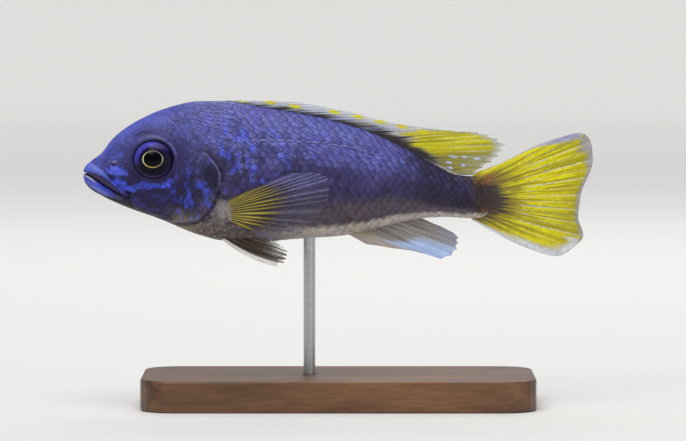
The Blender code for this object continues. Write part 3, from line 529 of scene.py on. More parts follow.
def bodyTone(s, h, side):
    def noise(seed, wide, high):
        return grain(seed, s / wide, h / high, side * 9)

    def spot(atS, atH, wide, high):
        return swell(s - atS, wide) * swell(h - atH, high)

    top, bottom = section(s)[:2]
    share = (h - bottom) / np.maximum(top - bottom, 0.5)
    cloudy, speck, fine, streak = noise(3, 6, 4), noise(5, 1.0, 1.3), noise(8, 0.5, 0.5), noise(9, 0.9, 2.8)
    gillFar, gillPassed = fromLine(headForm["gillEdge"], s, h)
    onCover = step(0.4, -0.3, gillFar)
    tone = painted(ground(s, skinPaint["flank"]), skinPaint, [
        ("flankDark", step(0.56, 0.34, share) * 0.6 + step(0.5, 0.72, streak) * step(0.72, 0.55, share) / 2),
        ("back", step(0.52, 0.8, share + 0.12 * (cloudy - 0.5))),
        ("violet", step(0.45, 0.7, cloudy) * step(0.3, 0.5, share) * 0.3),
        ("lowBrown", step(0.4, 0.2, share + 0.08 * (cloudy - 0.5)) * step(24, 36, s)),
        ("crown", step(30, 22, s) * step(0.5, 0.8, share)),
        ("cheek", step(32, 26, s) * step(0.72, 0.52, share)),
        ("belly", step(0.22, 0.04, share) * band(s, 15, 25, 34, 64)),
        ("stalk", step(78, 90, s + 8 * (cloudy - 0.5)) * (0.75 + 0.25 * step(0.6, 0.4, speck))),
        ("stalk", step(84, 94, s) * step(0.55, 0.85, share) * 0.6),
        ("stalkLow", step(78, 90, s) * step(0.3, 0.12, share) * 0.8),
        ("ventral", step(0.13, 0.07, share + 0.04 * (speck - 0.5)) * step(40, 58, s) * 0.9),
    ])
    tailEnd = step(98, 100.5, s + 1.5 * (speck - 0.5))
    rooted = tailRootTone(mixed(tone, skinPaint["tailOchre"], tailEnd), s, h)
    tone = tone * (1 - tailEnd[..., None]) + rooted * tailEnd[..., None]

    # the shoulder, head and cover glitter with small bright blue places
    under = h - lineHeight(s) + 0.7
    shoulder = np.maximum(spot(41, 10.5, 17, 7.5), 0.8 * spot(29, 15, 6, 5.5))
    coverSpots = spot(28.5, -0.5, 7.5, 6.5) * onCover
    behind = spot(40, -0.5, 8, 4.5) * (1 - onCover)
    bright = step(0.54, 0.76, 0.4 * speck + 0.6 * noise(21, 0.75, 1.9)) * (0.5 + 0.5 * step(0.3, 0.6, fine))
    shine = np.clip(0.85 * shoulder + 0.3 * behind, 0, 0.85)
    headTop = step(34, 27, s) * band(share, 0.42, 0.6, 0.84, 0.96)
    clouds = noise(12, 3.2, 2.6) * 0.7 + speck * 0.3
    greyed = np.maximum(spot(13.0, 9.0, 3.4, 3.2), spot(24.5, 8.5, 3.0, 4.5))
    tone = painted(tone, skinPaint, [
        ("ventral", step(97, 100, s) * step(-5.6, -6.6, h + 0.6 * (speck - 0.5)) * 0.7),
        ("glow", swell(under, 0.7) * band(s, 35.5, 38, 66, 84) * step(0.42, 0.7, speck) * 0.6),
        ("flash", bright * np.maximum(shine, 0.85 * coverSpots)),
        ("glow", step(0.6, 0.8, fine) * shoulder * step(0.4, 0.6, speck) * 0.45),
        ("gill", 0.6 * step(0.46, 0.24, speck) * (shoulder + coverSpots) * step(18, 24, s)),
        # painted shade over the lower head and under the jaw
        ("cheek", band(s, 7, 11, 21, 25) * step(0.3, -2.0, h) * 0.8),
        ("jaw", band(s, 8, 12, 17, 21) * step(-2.2, -4.4, h + 1.2 * (cloudy - 0.5)) * 0.85),
        ("snoutSide", headTop * step(0.42, 0.66, clouds) * 0.65),
        ("glow", step(0.78, 0.98, share) * band(s, 2, 5, 14, 24) * 0.2),
        ("lip", step(0.7, 0.9, share) * band(s, 3, 6, 18, 26) * (0.12 + 0.2 * cloudy)),
        ("glow", headTop * step(0.62, 0.85, noise(17, 0.36, 0.36)) * 0.3),
        ("snoutSide", np.clip(greyed * 1.3, 0, 1) * (0.55 + 0.35 * cloudy)),
    ])

    # lips and jaw, with painted highlights on the lips and painted shade in the mouth and under the lips
    up, down, below = lipPlaces(s, h)
    ahead = step(12.2, 11.0, s)
    onLip = step(0, 0.05, up) * ahead
    inside, outside = (below < 0) * ahead, below > 0
    lipDepth = 2.1 - 0.17 * np.clip(s - 4, 0, 6)
    lipFar = fromLine(headForm["lipFold"], s, h)[0]
    tone = painted(tone, skinPaint, [
        ("lip", step(1.05, 0.9, up) * onLip * (0.7 + 0.3 * fine)),
        ("lipShine", swell(up - 0.5, 0.4) * swell(s - 3.4, 2.8) * 0.55),
        ("lipRear", step(1.1, 0.9, up) * onLip * step(5.8, 8.0, s) * 0.8),
        ("lipShade", step(0.04, 0.22, down) * inside * 0.9),
        # painted shade on the inner roll, darkest towards the slit
        ("mouth", step(0.62, 0.95, down) * inside * 0.7),
        ("lip", step(0.2, -0.3, below - lipDepth) * outside * step(9.0, 6.8, s) * 0.95),
        ("lipShine", swell((below - 0.55 * lipDepth) / 0.34, 1) * swell(s - 4.2, 2.6) * 0.7),
        ("lipEnd", step(2.2, 1.5, below) * outside * swell(s - 9.4, 1.7) * 0.5),
        ("lipInner", swell(below - 0.16, 0.2) * step(4.0, 2.2, s) * 0.6),
        ("gum", swell(below - 0.18, 0.16) * swell(s - 1.9, 1.0) * 0.7),
        # painted shade in the crease over the upper lip
        ("fold", swell(lipFar, 0.22) * step(5.0, 7.5, s) * 0.85),
        # painted shade under the bead of the lower lip
        ("jaw", step(-0.1, 0.35, below - lipDepth) * band(s, 0.2, 1.6, 12, 18) * step(2.6, 0.5, h) * 0.95),
        ("chin", step(0.2, 0.9, below - lipDepth) * swell(s - 8.5, 4.5) * step(-0.5, -2.5, h) * 0.55),
        # the slit painted dark as shade inside the mouth
        ("mouth", inMouth(s, h)),
    ])

    # blue marks of the cheek, painted shade in the folds and the nostril slit, and the pale nostril flap
    wander = 0.9 * (grain(18, s / 1.3, h / 1.3) - 0.5)
    patch = swell(s - 8.5, 3.4) * swell(h - 5.0 + 0.2 * (s - 8.5) + wander, 1.45)
    patch = step(0.25, 0.8, patch) * step(1.0, 1.15, up)
    snoutDots = spot(8.8, 9.0, 1.8, 1.2) * step(0.6, 0.8, grain(15, s / 0.7, h / 0.7))
    far, passed = fromLine(headForm["ribbon"], s, h)
    ribbon = step(0.15, 0.75, swell(far + wander, 0.95)) * step(1.0, 0.9, passed)
    blots = step(0.5, 0.75, noise(14, 1.7, 1.2)) * spot(18, -2.5, 6, 2.6)
    cornerFar = fromLine(headForm["cornerFold"], s, h)[0]
    browFar, browPassed = fromLine(headForm["browFold"], s, h)
    overFlap, overSlit = nostrilPlaces(s, h)
    tone = painted(tone, skinPaint, [
        ("flash", patch * (0.55 + 0.25 * step(0.2, 0.6, fine))),
        ("glow", patch * (0.1 + 0.2 * step(0.5, 0.8, fine))),
        ("flash", snoutDots * 0.6),
        ("flash", ribbon * (0.4 + 0.38 * step(0.3, 0.7, fine))),
        ("flash", swell(fromLine(headForm["coverDash"], s, h)[0], 0.55) * 0.9),
        ("cheekBlot", blots * 0.75),
        # painted shade in the fold at the mouth's corner
        ("fold", swell(cornerFar, 0.6) * 0.85),
        # the deepest painted shade in the fold at the mouth's corner
        ("mouth", swell(cornerFar, 0.28) * 0.8),
        # painted shade in the brow fold
        ("fold", swell(browFar, 0.5) * band(browPassed, 0, 0.2, 0.8, 1.0) * 0.6),
        ("lipInner", swell(overFlap, 0.7) * 0.35),
        # painted shade in the nostril slit
        ("mouth", step(1.2, 0.6, overSlit) * 0.9),
    ])

    # gill cover: a dark ear spot, a painted highlight along its rim, and painted shade under the edge; bare
    # pale skin at the fin's root
    ends = band(gillPassed, 0.0, 0.12, 0.85, 1.0)
    earSpot = spot(33.6, 4.2, 2.1, 2.9) * step(0.1, -0.2, gillFar)
    chest = step(0.3, 0.16, share) * band(s, 27, 31, 40, 50) * (1 - onCover)
    speckle = noise(16, 0.32, 0.32)
    pad = np.clip(spot(35.6, -5.0, 1.5, 2.7) * 1.4, 0, 0.9)
    padShade = swell(s - 36.2, 2.1) * swell(h + 1.5 + 0.12 * (s - 36), 0.8) * step(0, 0.5, gillFar)
    cheekFar, cheekPassed = fromLine(headForm["cheekFold"], s, h)
    # round the eye: painted shade over the socket above and behind it, darker skin below it, painted shade in
    # the crease round it, and a painted highlight on its lit rim above
    fromEye = np.hypot(s - eyeForm["at"][0], h - eyeForm["at"][1])
    aboveEye = (h - eyeForm["at"][1]) / np.maximum(fromEye, 1)
    behindEye = (s - eyeForm["at"][0]) / np.maximum(fromEye, 1)
    upper = step(-0.6, 0.1, aboveEye) * step(-0.9, 0.2, behindEye + 0.4 * aboveEye)
    socket = step(10.5, 6.5, fromEye) * upper
    tone = painted(tone, skinPaint, [
        ("gill", earSpot * 3.2),
        # a painted highlight along the gill cover's raised rim
        ("gillRimHighlight", swell(gillFar + 0.14, 0.17) * ends * step(0.42, 0.3, gillPassed) * 0.8),
        # painted shade under the gill cover's edge
        ("fold", swell(gillFar - 0.5, 0.5) * ends * 0.8),
        ("ventral", chest * step(0.62, 0.84, speckle) * 0.3),
        ("flankDark", chest * (0.2 + 0.5 * step(0.45, 0.25, speckle))),
        ("finPad", pad * step(-0.1, 0.7, gillFar) * (0.7 + 0.3 * fine)),
        ("gill", padShade * 0.9),
        # painted shade in the cheek fold
        ("fold", swell(cheekFar - 0.3, 0.45) * band(cheekPassed, 0, 0.2, 0.8, 1) * 0.7),
        # painted shade over the socket, above and behind the eye
        ("socket", socket * 0.75),
        ("cheek", step(7.4, 5.8, fromEye) * step(-0.2, -0.8, aboveEye) * 0.7),
        # painted shade in the crease round the eyeball
        ("fold", step(6.2, 5.3, fromEye) * (0.6 + 0.1 * aboveEye)),
        # a painted highlight on the lit rim of the fold above and behind the eye
        ("glow", swell(fromEye - 5.95, 0.28) * step(0.2, 0.8, aboveEye + 0.3 * behindEye) * 0.35),
    ])
    return tone * (0.8 + 0.4 * fine[..., None])


def sampled(field, ring, turn):
    # a value of the grid of rings between its points
    low = np.clip(np.floor(ring).astype(int), 0, ringCount - 2)
    left = np.floor(turn).astype(int)
    a, b = (ring - low)[..., None], (turn - left)[..., None]
    left, right = left % field.shape[1], (left + 1) % field.shape[1]
    before = (1 - b) * field[low, left] + b * field[low, right]
    return (1 - a) * before + a * ((1 - b) * field[low + 1, left] + b * field[low + 1, right])


# Skin: one closed surface from lips to tail root. It starts as a grid rolled into a tube
work = bmesh.new()
work.loops.layers.uv.new("OFBake")
bmesh.ops.create_grid(work, x_segments=turnCount, y_segments=ringCount - 1, size=1, calc_uvs=True)
for vert in work.verts:
    turn, ring = math.pi * (vert.co.x + 1), (vert.co.y + 1) / 2 * (ringCount - 1)
    wide = 0.0 if ring < 0.5 or ring > ringCount - 1.5 else 1.0
    vert.co = (wide * math.cos(turn), wide * math.sin(turn), ring)
bmesh.ops.remove_doubles(work, verts=work.verts[:], dist=1e-4)
skinMesh = meshFrom(work, "skin")
tube = meshPoints(skinMesh)
turn = np.round(np.arctan2(tube[:, 1], tube[:, 0]) / (2 * math.pi) * turnCount).astype(int) % turnCount
ring = np.round(tube[:, 2]).astype(int)
setPoints(skinMesh, inFrame(shapedBody[ring, turn]))
skinPlaces = plainBody[ring, turn]
setTone(skinMesh, bodyTone(skinPlaces[:, 0], skinPlaces[:, 2], np.where(skinPlaces[:, 1] < 0, -1.0, 1.0)))
faceOutward(skinMesh)
flesh = ("head", "lower_jaw", "gill_cover_left", "gill_cover_right", "trunk", "tail_stalk")
skin = newPiece("skin", skinMesh, flesh)
print("skin made:", len(skinMesh.polygons), "faces")

# Scales: rows along the flank, each scale a thin rounded plate tucked under the one before
scaleForm = {
    "seed": 11,
    "pitch": [(20, 1.5), (30, 1.9), (36, 2.15), (60, 2.15), (85, 1.9), (104, 1.5)],  # along a row
    "rowGap": [(20, 1.15), (30, 1.45), (36, 1.7), (60, 1.68), (85, 1.35), (104, 1.0)],  # between rows
    "rows": range(-17, 19),
    "coverRows": range(-14, 12),
    "coverColumns": 14,
    "coverStart": 15.5,
    "coverPitch": 1.55,
    "coverGap": 1.05,
    "lengthShare": 1.85,  # of the pitch
    "widthShare": 1.12,  # half width, of the gap between rows
    "rootLift": -0.1,
    "rearLift": 0.06,
    "dome": 0.01,
    "thickness": 0.03,
    "slant": 0.34,  # how far the rear edge leans forward at its top
    "along": [0.0, 0.42, 0.7, 0.88, 1.0],
    "across": [-1.0, -0.62, -0.22, 0.22, 0.62, 1.0],
    "patch": 0.0015,  # half the width of a scale's patch on the bake map
    "edge": "#1A1530",
    "glint": "#7A80D0",
}
pitchLine = smoothCurve(scaleForm["pitch"])
rowLine = smoothCurve(scaleForm["rowGap"])
arcHalf = 28.0
arcSteps = np.linspace(-arcHalf, arcHalf, 225)
halfTurns = turnCount // 2
plainSteps = np.linalg.norm(np.diff(plainBody[:, : halfTurns + 1, 1:], axis=1), axis=2)
lengthTo = np.concatenate([np.zeros((ringCount, 1)), np.cumsum(plainSteps, axis=1)], axis=1)
arcAt = lengthTo[:, halfTurns // 2 : halfTurns // 2 + 1] - lengthTo  # above the widest place, in mm
turnOfArc = np.array([np.interp(arcSteps, line[::-1], np.arange(halfTurns + 1)[::-1]) for line in arcAt])


def turnAt(ring, arc):
    # the turn of the skin's grid at a distance round the body from its widest place
    place = np.clip((arc + arcHalf) / (2 * arcHalf) * (len(arcSteps) - 1), 0, len(arcSteps) - 1.001)
    return sampled(turnOfArc[..., None], ring, place)[..., 0]


def ringAt(s):
    return np.interp(s, ringPlaces, np.arange(ringCount))


def heightAt(ring, arc):
    ring = np.array([ring])
    return sampled(plainBody, ring, turnAt(ring, np.array([arc])))[0, 2]


def scalePlaces(side):
    # root, arc, pitch and row gap of each scale, and how much it stands up
    chance = np.random.default_rng(scaleForm["seed"] + side)
    padS, padH = bodyForm["finPad"]
    found = []
    starts = [19.0]
    while starts[-1] < 99:
        starts.append(starts[-1] + float(pitchLine(starts[-1])))
    for row in scaleForm["rows"]:
        for start, following in zip(starts, starts[1:]):
            s = start if row % 2 == 0 else (start + following) / 2
            gap, pitch = float(rowLine(s)), float(pitchLine(s))
            arc = row * gap + chance.normal(0, 0.07)
            s += chance.normal(0, 0.1)
            size = chance.normal(1, 0.05)
            ring = ringAt(s)
            top, bottom = arcAt[int(ring), 0], arcAt[int(ring), -1]
            if not bottom + 0.4 * gap < arc < top - 0.3 * gap:
                continue
            h = heightAt(ring, arc)
            far, passed = fromLine(headForm["gillEdge"], s + 0.6, h)
            onFlank = s > 35 or (far > 0.2 and 0.02 < passed < 0.98)
            onNape = h > 11.2 and s > 21.0 + max(0.0, 13.5 - h)
            onChest = h < -8.6 and s > 25
            if s < 36 and not (onNape or (onFlank and (onChest or s > 33.5 or (s > 30 and h > 8.5)))):
                continue
            if math.hypot((s + 1.6 - padS) / 1.7, (h - padH - 0.4) / 3.2) < 1:
                continue  # bare skin at the root of the pectoral fin
            found.append((s, arc, pitch * size, gap * size, 0.6 + 0.4 * float(step(24, 36, s))))
    return np.array(found)


def coverPlaces(side):
    # smaller scales on the cheek and gill cover, behind and below the eye
    chance = np.random.default_rng(scaleForm["seed"] + 7 + side)
    first, pitch, gap = (scaleForm[name] for name in ("coverStart", "coverPitch", "coverGap"))
    found = []
    for row in scaleForm["coverRows"]:
        for k in range(scaleForm["coverColumns"]):
            s = first + (k + 0.5 * (row % 2)) * pitch + chance.normal(0, 0.08)
            arc = row * gap + chance.normal(0, 0.05)
            h = heightAt(ringAt(s), arc)
            far = fromLine(headForm["gillEdge"], s + 2.0, h)[0]
            eyeFar = math.hypot(s + 0.8 - eyeForm["at"][0], h - eyeForm["at"][1])
            if far > -0.7 or eyeFar < 7.2 or h < -6.6 or h > 12.5 or s < first - h * 0.2:
                continue
            found.append((s, arc, pitch, gap, 0.6))
    return np.array(found)


def scaleCoat(name, side):
    form = scaleForm
    places = np.concatenate([scalePlaces(side), coverPlaces(side)])
    count = len(places)
    steps = (form["along"], form["across"])
    plate = bmesh.new()
    bmesh.ops.create_grid(plate, x_segments=len(steps[0]) - 1, y_segments=len(steps[1]) - 1, size=1)
    corners = (np.array([vert.co[:2] for vert in plate.verts]) + 1) / 2
    u, v = (np.interp(corners[:, k], np.linspace(0, 1, len(steps[k])), steps[k]) for k in (0, 1))
    rootS, rootArc, pitch, gap, lift = (places[:, k : k + 1] for k in range(5))
    slant = form["slant"] * (0.1 + 0.9 * step(0, 8, rootArc))
    reach = u * (1 - 0.3 * np.abs(v) ** 3 - slant * v) * form["lengthShare"] * pitch
    wide = v * (0.72 + 0.28 * np.sin(math.pi * np.clip(u, 0, 1) ** 0.8)) * form["widthShare"] * gap
    lean = (rowLine(rootS + 0.5) - rowLine(rootS - 0.5)) / rowLine(rootS) * rootArc
    s = rootS + reach - wide * lean
    arc = rootArc + reach * lean + wide
    ring, rootRing = ringAt(s), ringAt(rootS)
    turn, rootTurn = turnAt(ring, arc), turnAt(rootRing, rootArc)
    if side < 0:
        turn, rootTurn = turnCount - turn, turnCount - rootTurn
    base, normal = sampled(shapedBody, ring, turn), sampled(shapedNormals, ring, turn)
    normal /= np.linalg.norm(normal, axis=-1, keepdims=True)
    lift = lift * (0.6 + 0.4 * step(1.0, 6.0, rootArc))
    rising = form["rearLift"] - form["rootLift"] + form["dome"] * (1 - v**2)
    heights = lift * (form["rootLift"] + rising * u)
    mesh = repeatedMesh(name, plate, base + normal * heights[..., None])
    # colour: the fish's markings with their painted shade and highlights, an own brightness for each scale,
    # and dark rear edges
    h = base[..., 2]
    chance = np.random.default_rng(form["seed"] + 20 + side)
    own = chance.normal(1, 0.08, (count, 1, 1)) * chance.normal(1, (0.04, 0.04, 0.05), (count, 1, 3))
    middleS, middleH = s.mean(1, keepdims=True), h.mean(1, keepdims=True)
    tone = bodyTone(0.8 * s + 0.2 * middleS, 0.8 * h + 0.2 * middleH, np.full(s.shape, float(side))) * own
    leaning = step(0.8, 0.96, u) * band(v, -0.5, 0.0, 0.9, 1.3)
    upright = step(0.74, 0.92, u) * step(0.7, 0.3, np.abs(v)) * chance.uniform(0.5, 1.15, (count, 1))
    rear = leaning + (upright - leaning) * step(6, 2, rootArc)
    top, bottom = section(s)[:2]
    upFlank = (h - bottom) / (top - bottom)
    upper = step(0.5, 0.75, upFlank)
    outlined = (0.2 + 0.22 * step(0.1, 0.3, upFlank) + 0.33 * upper) * np.where(rootS > 28, 1, 0.5)
    shining = (step(0.35, 0.6, u) * (1 - step(0.7, 0.95, u) * step(-0.5, 0.0, v)))[None, :]
    glint = shining * chance.random((count, 1)) ** 1.5 * (0.05 + 0.45 * upper)
    tone = painted(tone, form, [
        ("edge", rear * outlined * (0.5 + 0.5 * step(98, 88, s))),
        ("glint", glint * band(s, 20, 34, 74, 90)),
    ])
    setTone(mesh, tone.reshape(-1, 3))
    bakeMap = mesh.uv_layers.new(name="OFBake")
    at = np.stack([rootTurn / turnCount, rootRing / (ringCount - 1)], -1)
    spread = at + form["patch"] * np.stack([v, 2 * u - 1], -1)
    corner = np.empty(len(mesh.loops), int)
    mesh.loops.foreach_get("vertex_index", corner)
    bakeMap.data.foreach_set("uv", spread.reshape(-1, 2)[corner].astype(np.float32).ravel())
    work = bmesh.new()
    work.from_mesh(mesh)
    if sum(face.normal.y * side for face in work.faces) < 0:
        bmesh.ops.reverse_faces(work, faces=work.faces[:])
    work.to_mesh(mesh)
    work.free()
    made = newPiece(name, mesh)
    thicken(made, form["thickness"], -1)
    print(name, "made:", count, "scales")
    return made


scalesLeft = scaleCoat("scalesLeft", -1)
scalesRight = scaleCoat("scalesRight", 1)


def lateralLine(name, side):
    # a pale raised tube on each scale of one row
    form = lineForm
    tubule = bmesh.new()
    bmesh.ops.create_icosphere(tubule, subdivisions=2, radius=1)
    shape = np.array([vert.co[:] for vert in tubule.verts])
    s = np.arange(36.6, 78, form["pitch"])[:, None]
    slope = lineHeight(s + 0.5) - lineHeight(s - 0.5) + 0.06
    half, high, deep = form["size"]
    chance = np.random.default_rng(form["seed"] + side)
    half = half * chance.uniform(0.6, 1.15, (len(s), 1))
    pointS = s + chance.normal(0, 0.15, (len(s), 1)) + shape[:, 0] * half
    tilt = slope + chance.normal(0, 0.16, (len(s), 1))
    pointH = lineHeight(s) + chance.normal(0, 0.1, (len(s), 1))
    pointH = pointH + shape[:, 0] * half * tilt + shape[:, 1] * high
    out = skinOut(pointS, pointH) + form["lift"] + shape[:, 2] * deep
    mesh = repeatedMesh(name, tubule, np.stack([pointS, side * out, pointH], -1))
    faceOutward(mesh)
    fade = (step(80, 60, pointS) * 0.3 + 0.4) * chance.uniform(0.5, 1.1, (len(s), 1))
    tone = bodyTone(pointS, pointH, np.full(pointS.shape, float(side)))
    setTone(mesh, mixed(tone, form["colour"], fade).reshape(-1, 3))
    return newPiece(name, mesh)


lineLeft = lateralLine("lateralLineLeft", -1)
lineRight = lateralLine("lateralLineRight", 1)
print("lateral line made")

# Eyes: a turned ball with a flat dark iris, a domed pupil and a thin raised gold ring; the iris has painted
# reflections on its upper part and painted shade low down
eyePaint = {
    "pupil": "#020206", "ring": "#FAF3BE", "ringGold": "#E6C93E", "ringDull": "#B3A795",
    "iris": "#150D2A", "irisTopReflection": "#342A68", "irisUpReflection": "#4244A8", "irisLowShade": "#0A0610",
    "rim": "#120D20", "lowRim": "#3F3462",
}


def eyeBall(name, side):
    form = eyeForm
    radii = np.concatenate([np.linspace(0, 3.1, 32), np.linspace(3.2, form["radius"], 22)])
    depth = form["halfDepth"] * np.sqrt(np.clip(1 - (radii / form["radius"]) ** 2, 0, 1))
    front = list(zip(radii, depth))
    profile = front + [(r, -0.9 * d) for r, d in front[-2::-4]] + [(0, -2.4)]
    mesh = turnedMesh(name, profile, 96)
    turned = meshPoints(mesh)
    x, y, z = turned.T
    radius, angle = np.hypot(x, y), np.arctan2(y, x)
    rise, ahead = np.sin(angle), -np.cos(angle)
    wide, high = form["ring"]
    fromRing = np.hypot((x - form["ringAt"][0]) / wide, (y - form["ringAt"][1]) / high) - 1
    fromRing = fromRing * (wide + high) / 2
    outer = (z > 0) * step(form["radius"], 3.4, radius)
    # the ring is thickest and most golden low in front, and thin and pale at the top
    low = np.clip(0.5 + 0.45 * ahead - 0.4 * rise, 0, 1)
    glintSides = np.maximum(swell(angle - 0.1, 0.35), swell(np.abs(angle) - math.pi + 0.1, 0.6))
    onRing = swell(fromRing / (form["ringWidth"] * (0.7 + 0.75 * low)), 1)
    turned[:, 2] += outer * (form["ringHeight"] * onRing - 0.08 * step(-0.1, 0.3, fromRing))
    fibre = grain(31, np.cos(angle) * 9, np.sin(angle) * 9, radius * 1.2)
    tone = painted(ground(radius, eyePaint["iris"]), eyePaint, [
        # painted reflections across the top and upper front of the iris, and painted shade on its lower part
        ("irisTopReflection", step(0.35, 0.8, rise) * step(3.1, 3.8, radius) * 0.75),
        ("irisUpReflection", step(0.25, 0.95, 0.72 * rise + 0.69 * ahead) * step(3, 3.9, radius) * (0.6 + 0.4 * fibre)),
        ("irisLowShade", step(0.15, 0.6, -rise) * step(4.2, 3.6, radius) * 0.8),
        ("rim", step(4.75, 5.0, radius)),
        ("lowRim", step(0.1, 0.7, 0.25 * ahead - rise) * step(4.3, 4.6, radius) * (0.4 + 0.5 * fibre)),
        ("pupil", step(0.0, -0.2, fromRing)),
        ("ringDull", onRing),
        ("ringGold", onRing * low * (0.6 + 0.5 * fibre)),
        ("ring", onRing * glintSides),
    ])
    setTone(mesh, tone * (0.8 + 0.4 * fibre)[:, None])
    centre, outward, rearward, upward = eyeAxes(side)
    turned[:, :2] *= form["shape"]
    setPoints(mesh, inFrame(centre + turned @ np.array([rearward, upward, outward])))
    if side > 0:
        mesh.flip_normals()
    return newPiece(name, mesh, ["eye_left" if side < 0 else "eye_right"])


eyeLeft = eyeBall("eyeLeft", -1)
eyeRight = eyeBall("eyeRight", 1)
print("eyes made")

# Fins: thin sheets from the root line to the tip line, with a ridge for each ray
finForm = {
    "membrane": 0.16,
    "ray": 0.34,
    "rayWidth": 0.24,
    "firstSoft": 0.5,
    "tooth": 0.0,
    "ripple": 0.0,
    "bow": 0.0,
    "rightSpread": 1.0,
}
# Each key is (ray number, root, tip)
dorsalFin = {
    **finForm,
    "keys": [
        (0, (32.8, 21.9), (37.0, 22.9)), (3, (38.6, 21.7), (51, 22.6)), (7, (49.0, 19.9), (65, 20.5)),
        (12, (61.6, 17.4), (79, 17.1)), (17, (73.2, 13.7), (93.6, 15.1)), (18, (75.4, 12.7), (99.8, 14.7)),
        (20, (79, 11.2), (105, 13)), (21, (80.8, 10.3), (107, 11.5)), (22, (82.6, 9.3), (106.2, 10)),
        (23, (84.4, 8.4), (105.4, 8.6)), (24, (86.8, 7.1), (103.6, 7.1)), (25, (89.8, 5.5), (101.4, 5.6)),
        (26, (93.2, 3.7), (99.6, 3.8)),
    ],
    "columns": 9,
    "rows": 60,
    "split": 0.5,
    "firstSoft": 17.5,
    "tooth": 0.05,
    "ripple": 0.12,
    # yellow blotches of the spiny part, with how strong they are, and pale beads of the soft part
    "blotches": [
        (40.4, 22.7, 0.5), (47.6, 22.3, 1), (53.9, 21.3, 1), (63.9, 19.9, 1), (70.0, 18.7, 1),
        (75.6, 17.4, 1), (81.2, 16.1, 1), (86.5, 14.9, 1),
    ],
    "blotchSize": (1.3, 0.44),
    "beads": [
        (94.3, 8.5, 1.1, 0.3), (97.1, 8.35, 0.75, 0.34), (100.4, 7.9, 1.1, 0.28), (93.2, 7.0, 0.8, 0.28),
        (96.8, 6.3, 0.62, 0.36), (93.6, 5.6, 0.55, 0.32),
    ],
}
analFin = {
    **finForm,
    "keys": [
        (0, (66, -10.4), (72, -13.8)), (1, (68.2, -10.1), (78.4, -14.8)), (2, (70.2, -9.7), (85.8, -16)),
        (3, (72.2, -9.2), (91, -17.5)), (5, (76, -8.2), (95, -15)), (7, (79.8, -7.2), (95.4, -12.2)),
        (9, (83, -6.5), (92, -9.8)), (10, (84.6, -6.3), (88.4, -8.4)),
    ],
    "columns": 16,
    "rows": 50,
    "split": 0.4,
    "firstSoft": 2.5,
    "tooth": 0.03,
    "ripple": 0.25,
}
tailFin = {
    **finForm,
    "keys": [
        (0, (97.8, 2.2), (100.4, 4.5)), (1, (98.4, 2.0), (107, 7.2)), (2, (99.2, 1.7), (117, 11.8)),
        (3, (99.9, 1.4), (126.4, 14.5)), (5, (100.8, 0.6), (129.5, 12)), (7, (101.4, -0.3), (130, 7.6)),
        (11, (101.8, -2), (126.9, -1.4)), (14, (101.5, -3.4), (126.3, -7)), (17, (100.8, -4.8), (127.6, -12)),
        (18, (100.3, -5.2), (125, -15)), (19, (99.8, -5.6), (120.5, -17.1)), (20, (99, -5.9), (111.5, -14.3)),
        (21, (97.8, -6.1), (99.6, -8)),
    ],
    "columns": 10,
    "rows": 72,
    "ray": 0.36,
    "rayWidth": 0.26,
    "split": 0.36,
    "ripple": 0.7,
    "bow": 0.02,
}
pectoralFin = {
    **finForm,
    "keys": [
        (0, (36.0, -2.9, 8.0), (53.4, 4.9, 13.5)), (1.5, (36.1, -3.5, 8.2), (58.5, 5.1, 15.6)),
        (3, (36.2, -4.2, 8.3), (62.2, 3.6, 16.6)), (4.5, (36.4, -4.9, 8.3), (62.8, 0.2, 17)),
        (6.5, (36.7, -5.9, 8.2), (59.4, -6.4, 16)), (8, (37.0, -6.7, 8.0), (55, -10.6, 14.6)),
        (9, (37.3, -7.4, 7.8), (48.6, -12.6, 12.2)),
    ],
    "columns": 16,
    "rows": 60,
    "membrane": 0.12,
    "ray": 0.24,
    "rayWidth": 0.3,
    "split": 0.5,
    "tooth": 0.008,
    "ripple": 0.4,
    "bow": 0.008,
    "rightSpread": 0.8,
}
pelvicFin = {
    **finForm,
    "keys": [
        (0, (33.8, -11, 2.4), (49, -18.8, 7.0)), (1, (35, -11.2, 2.5), (50.8, -18.0, 6.8)),
        (3, (37.4, -11.5, 2.6), (51.5, -16.0, 6.1)), (5, (39.8, -11.6, 2.6), (49.6, -14.1, 4.6)),
    ],
    "columns": 16,
    "rows": 46,
    "ray": 0.4,
    "rayWidth": 0.3,
    "split": 0.45,
    "tooth": 0.06,
    "bow": -0.075,
}


def rayRidges(number, share, spacing, form):
    # how far each place is on a ray or one of its two branches, and on the joints along it
    soft = number > form["firstSoft"]
    apart = 0.24 * step(form["split"], 1.0, share) * soft * spacing
    within = (number - np.round(number)) * spacing
    width = form["rayWidth"] * (1 - 0.45 * share)
    ridge = np.maximum(swell(within - apart, width / 2), swell(within + apart, width / 2))
    joints = 0.5 + 0.5 * np.cos(2 * math.pi * share * 26)
    return ridge, np.where(soft & (share > 0.25), 1 - 0.22 * joints, 1.0)


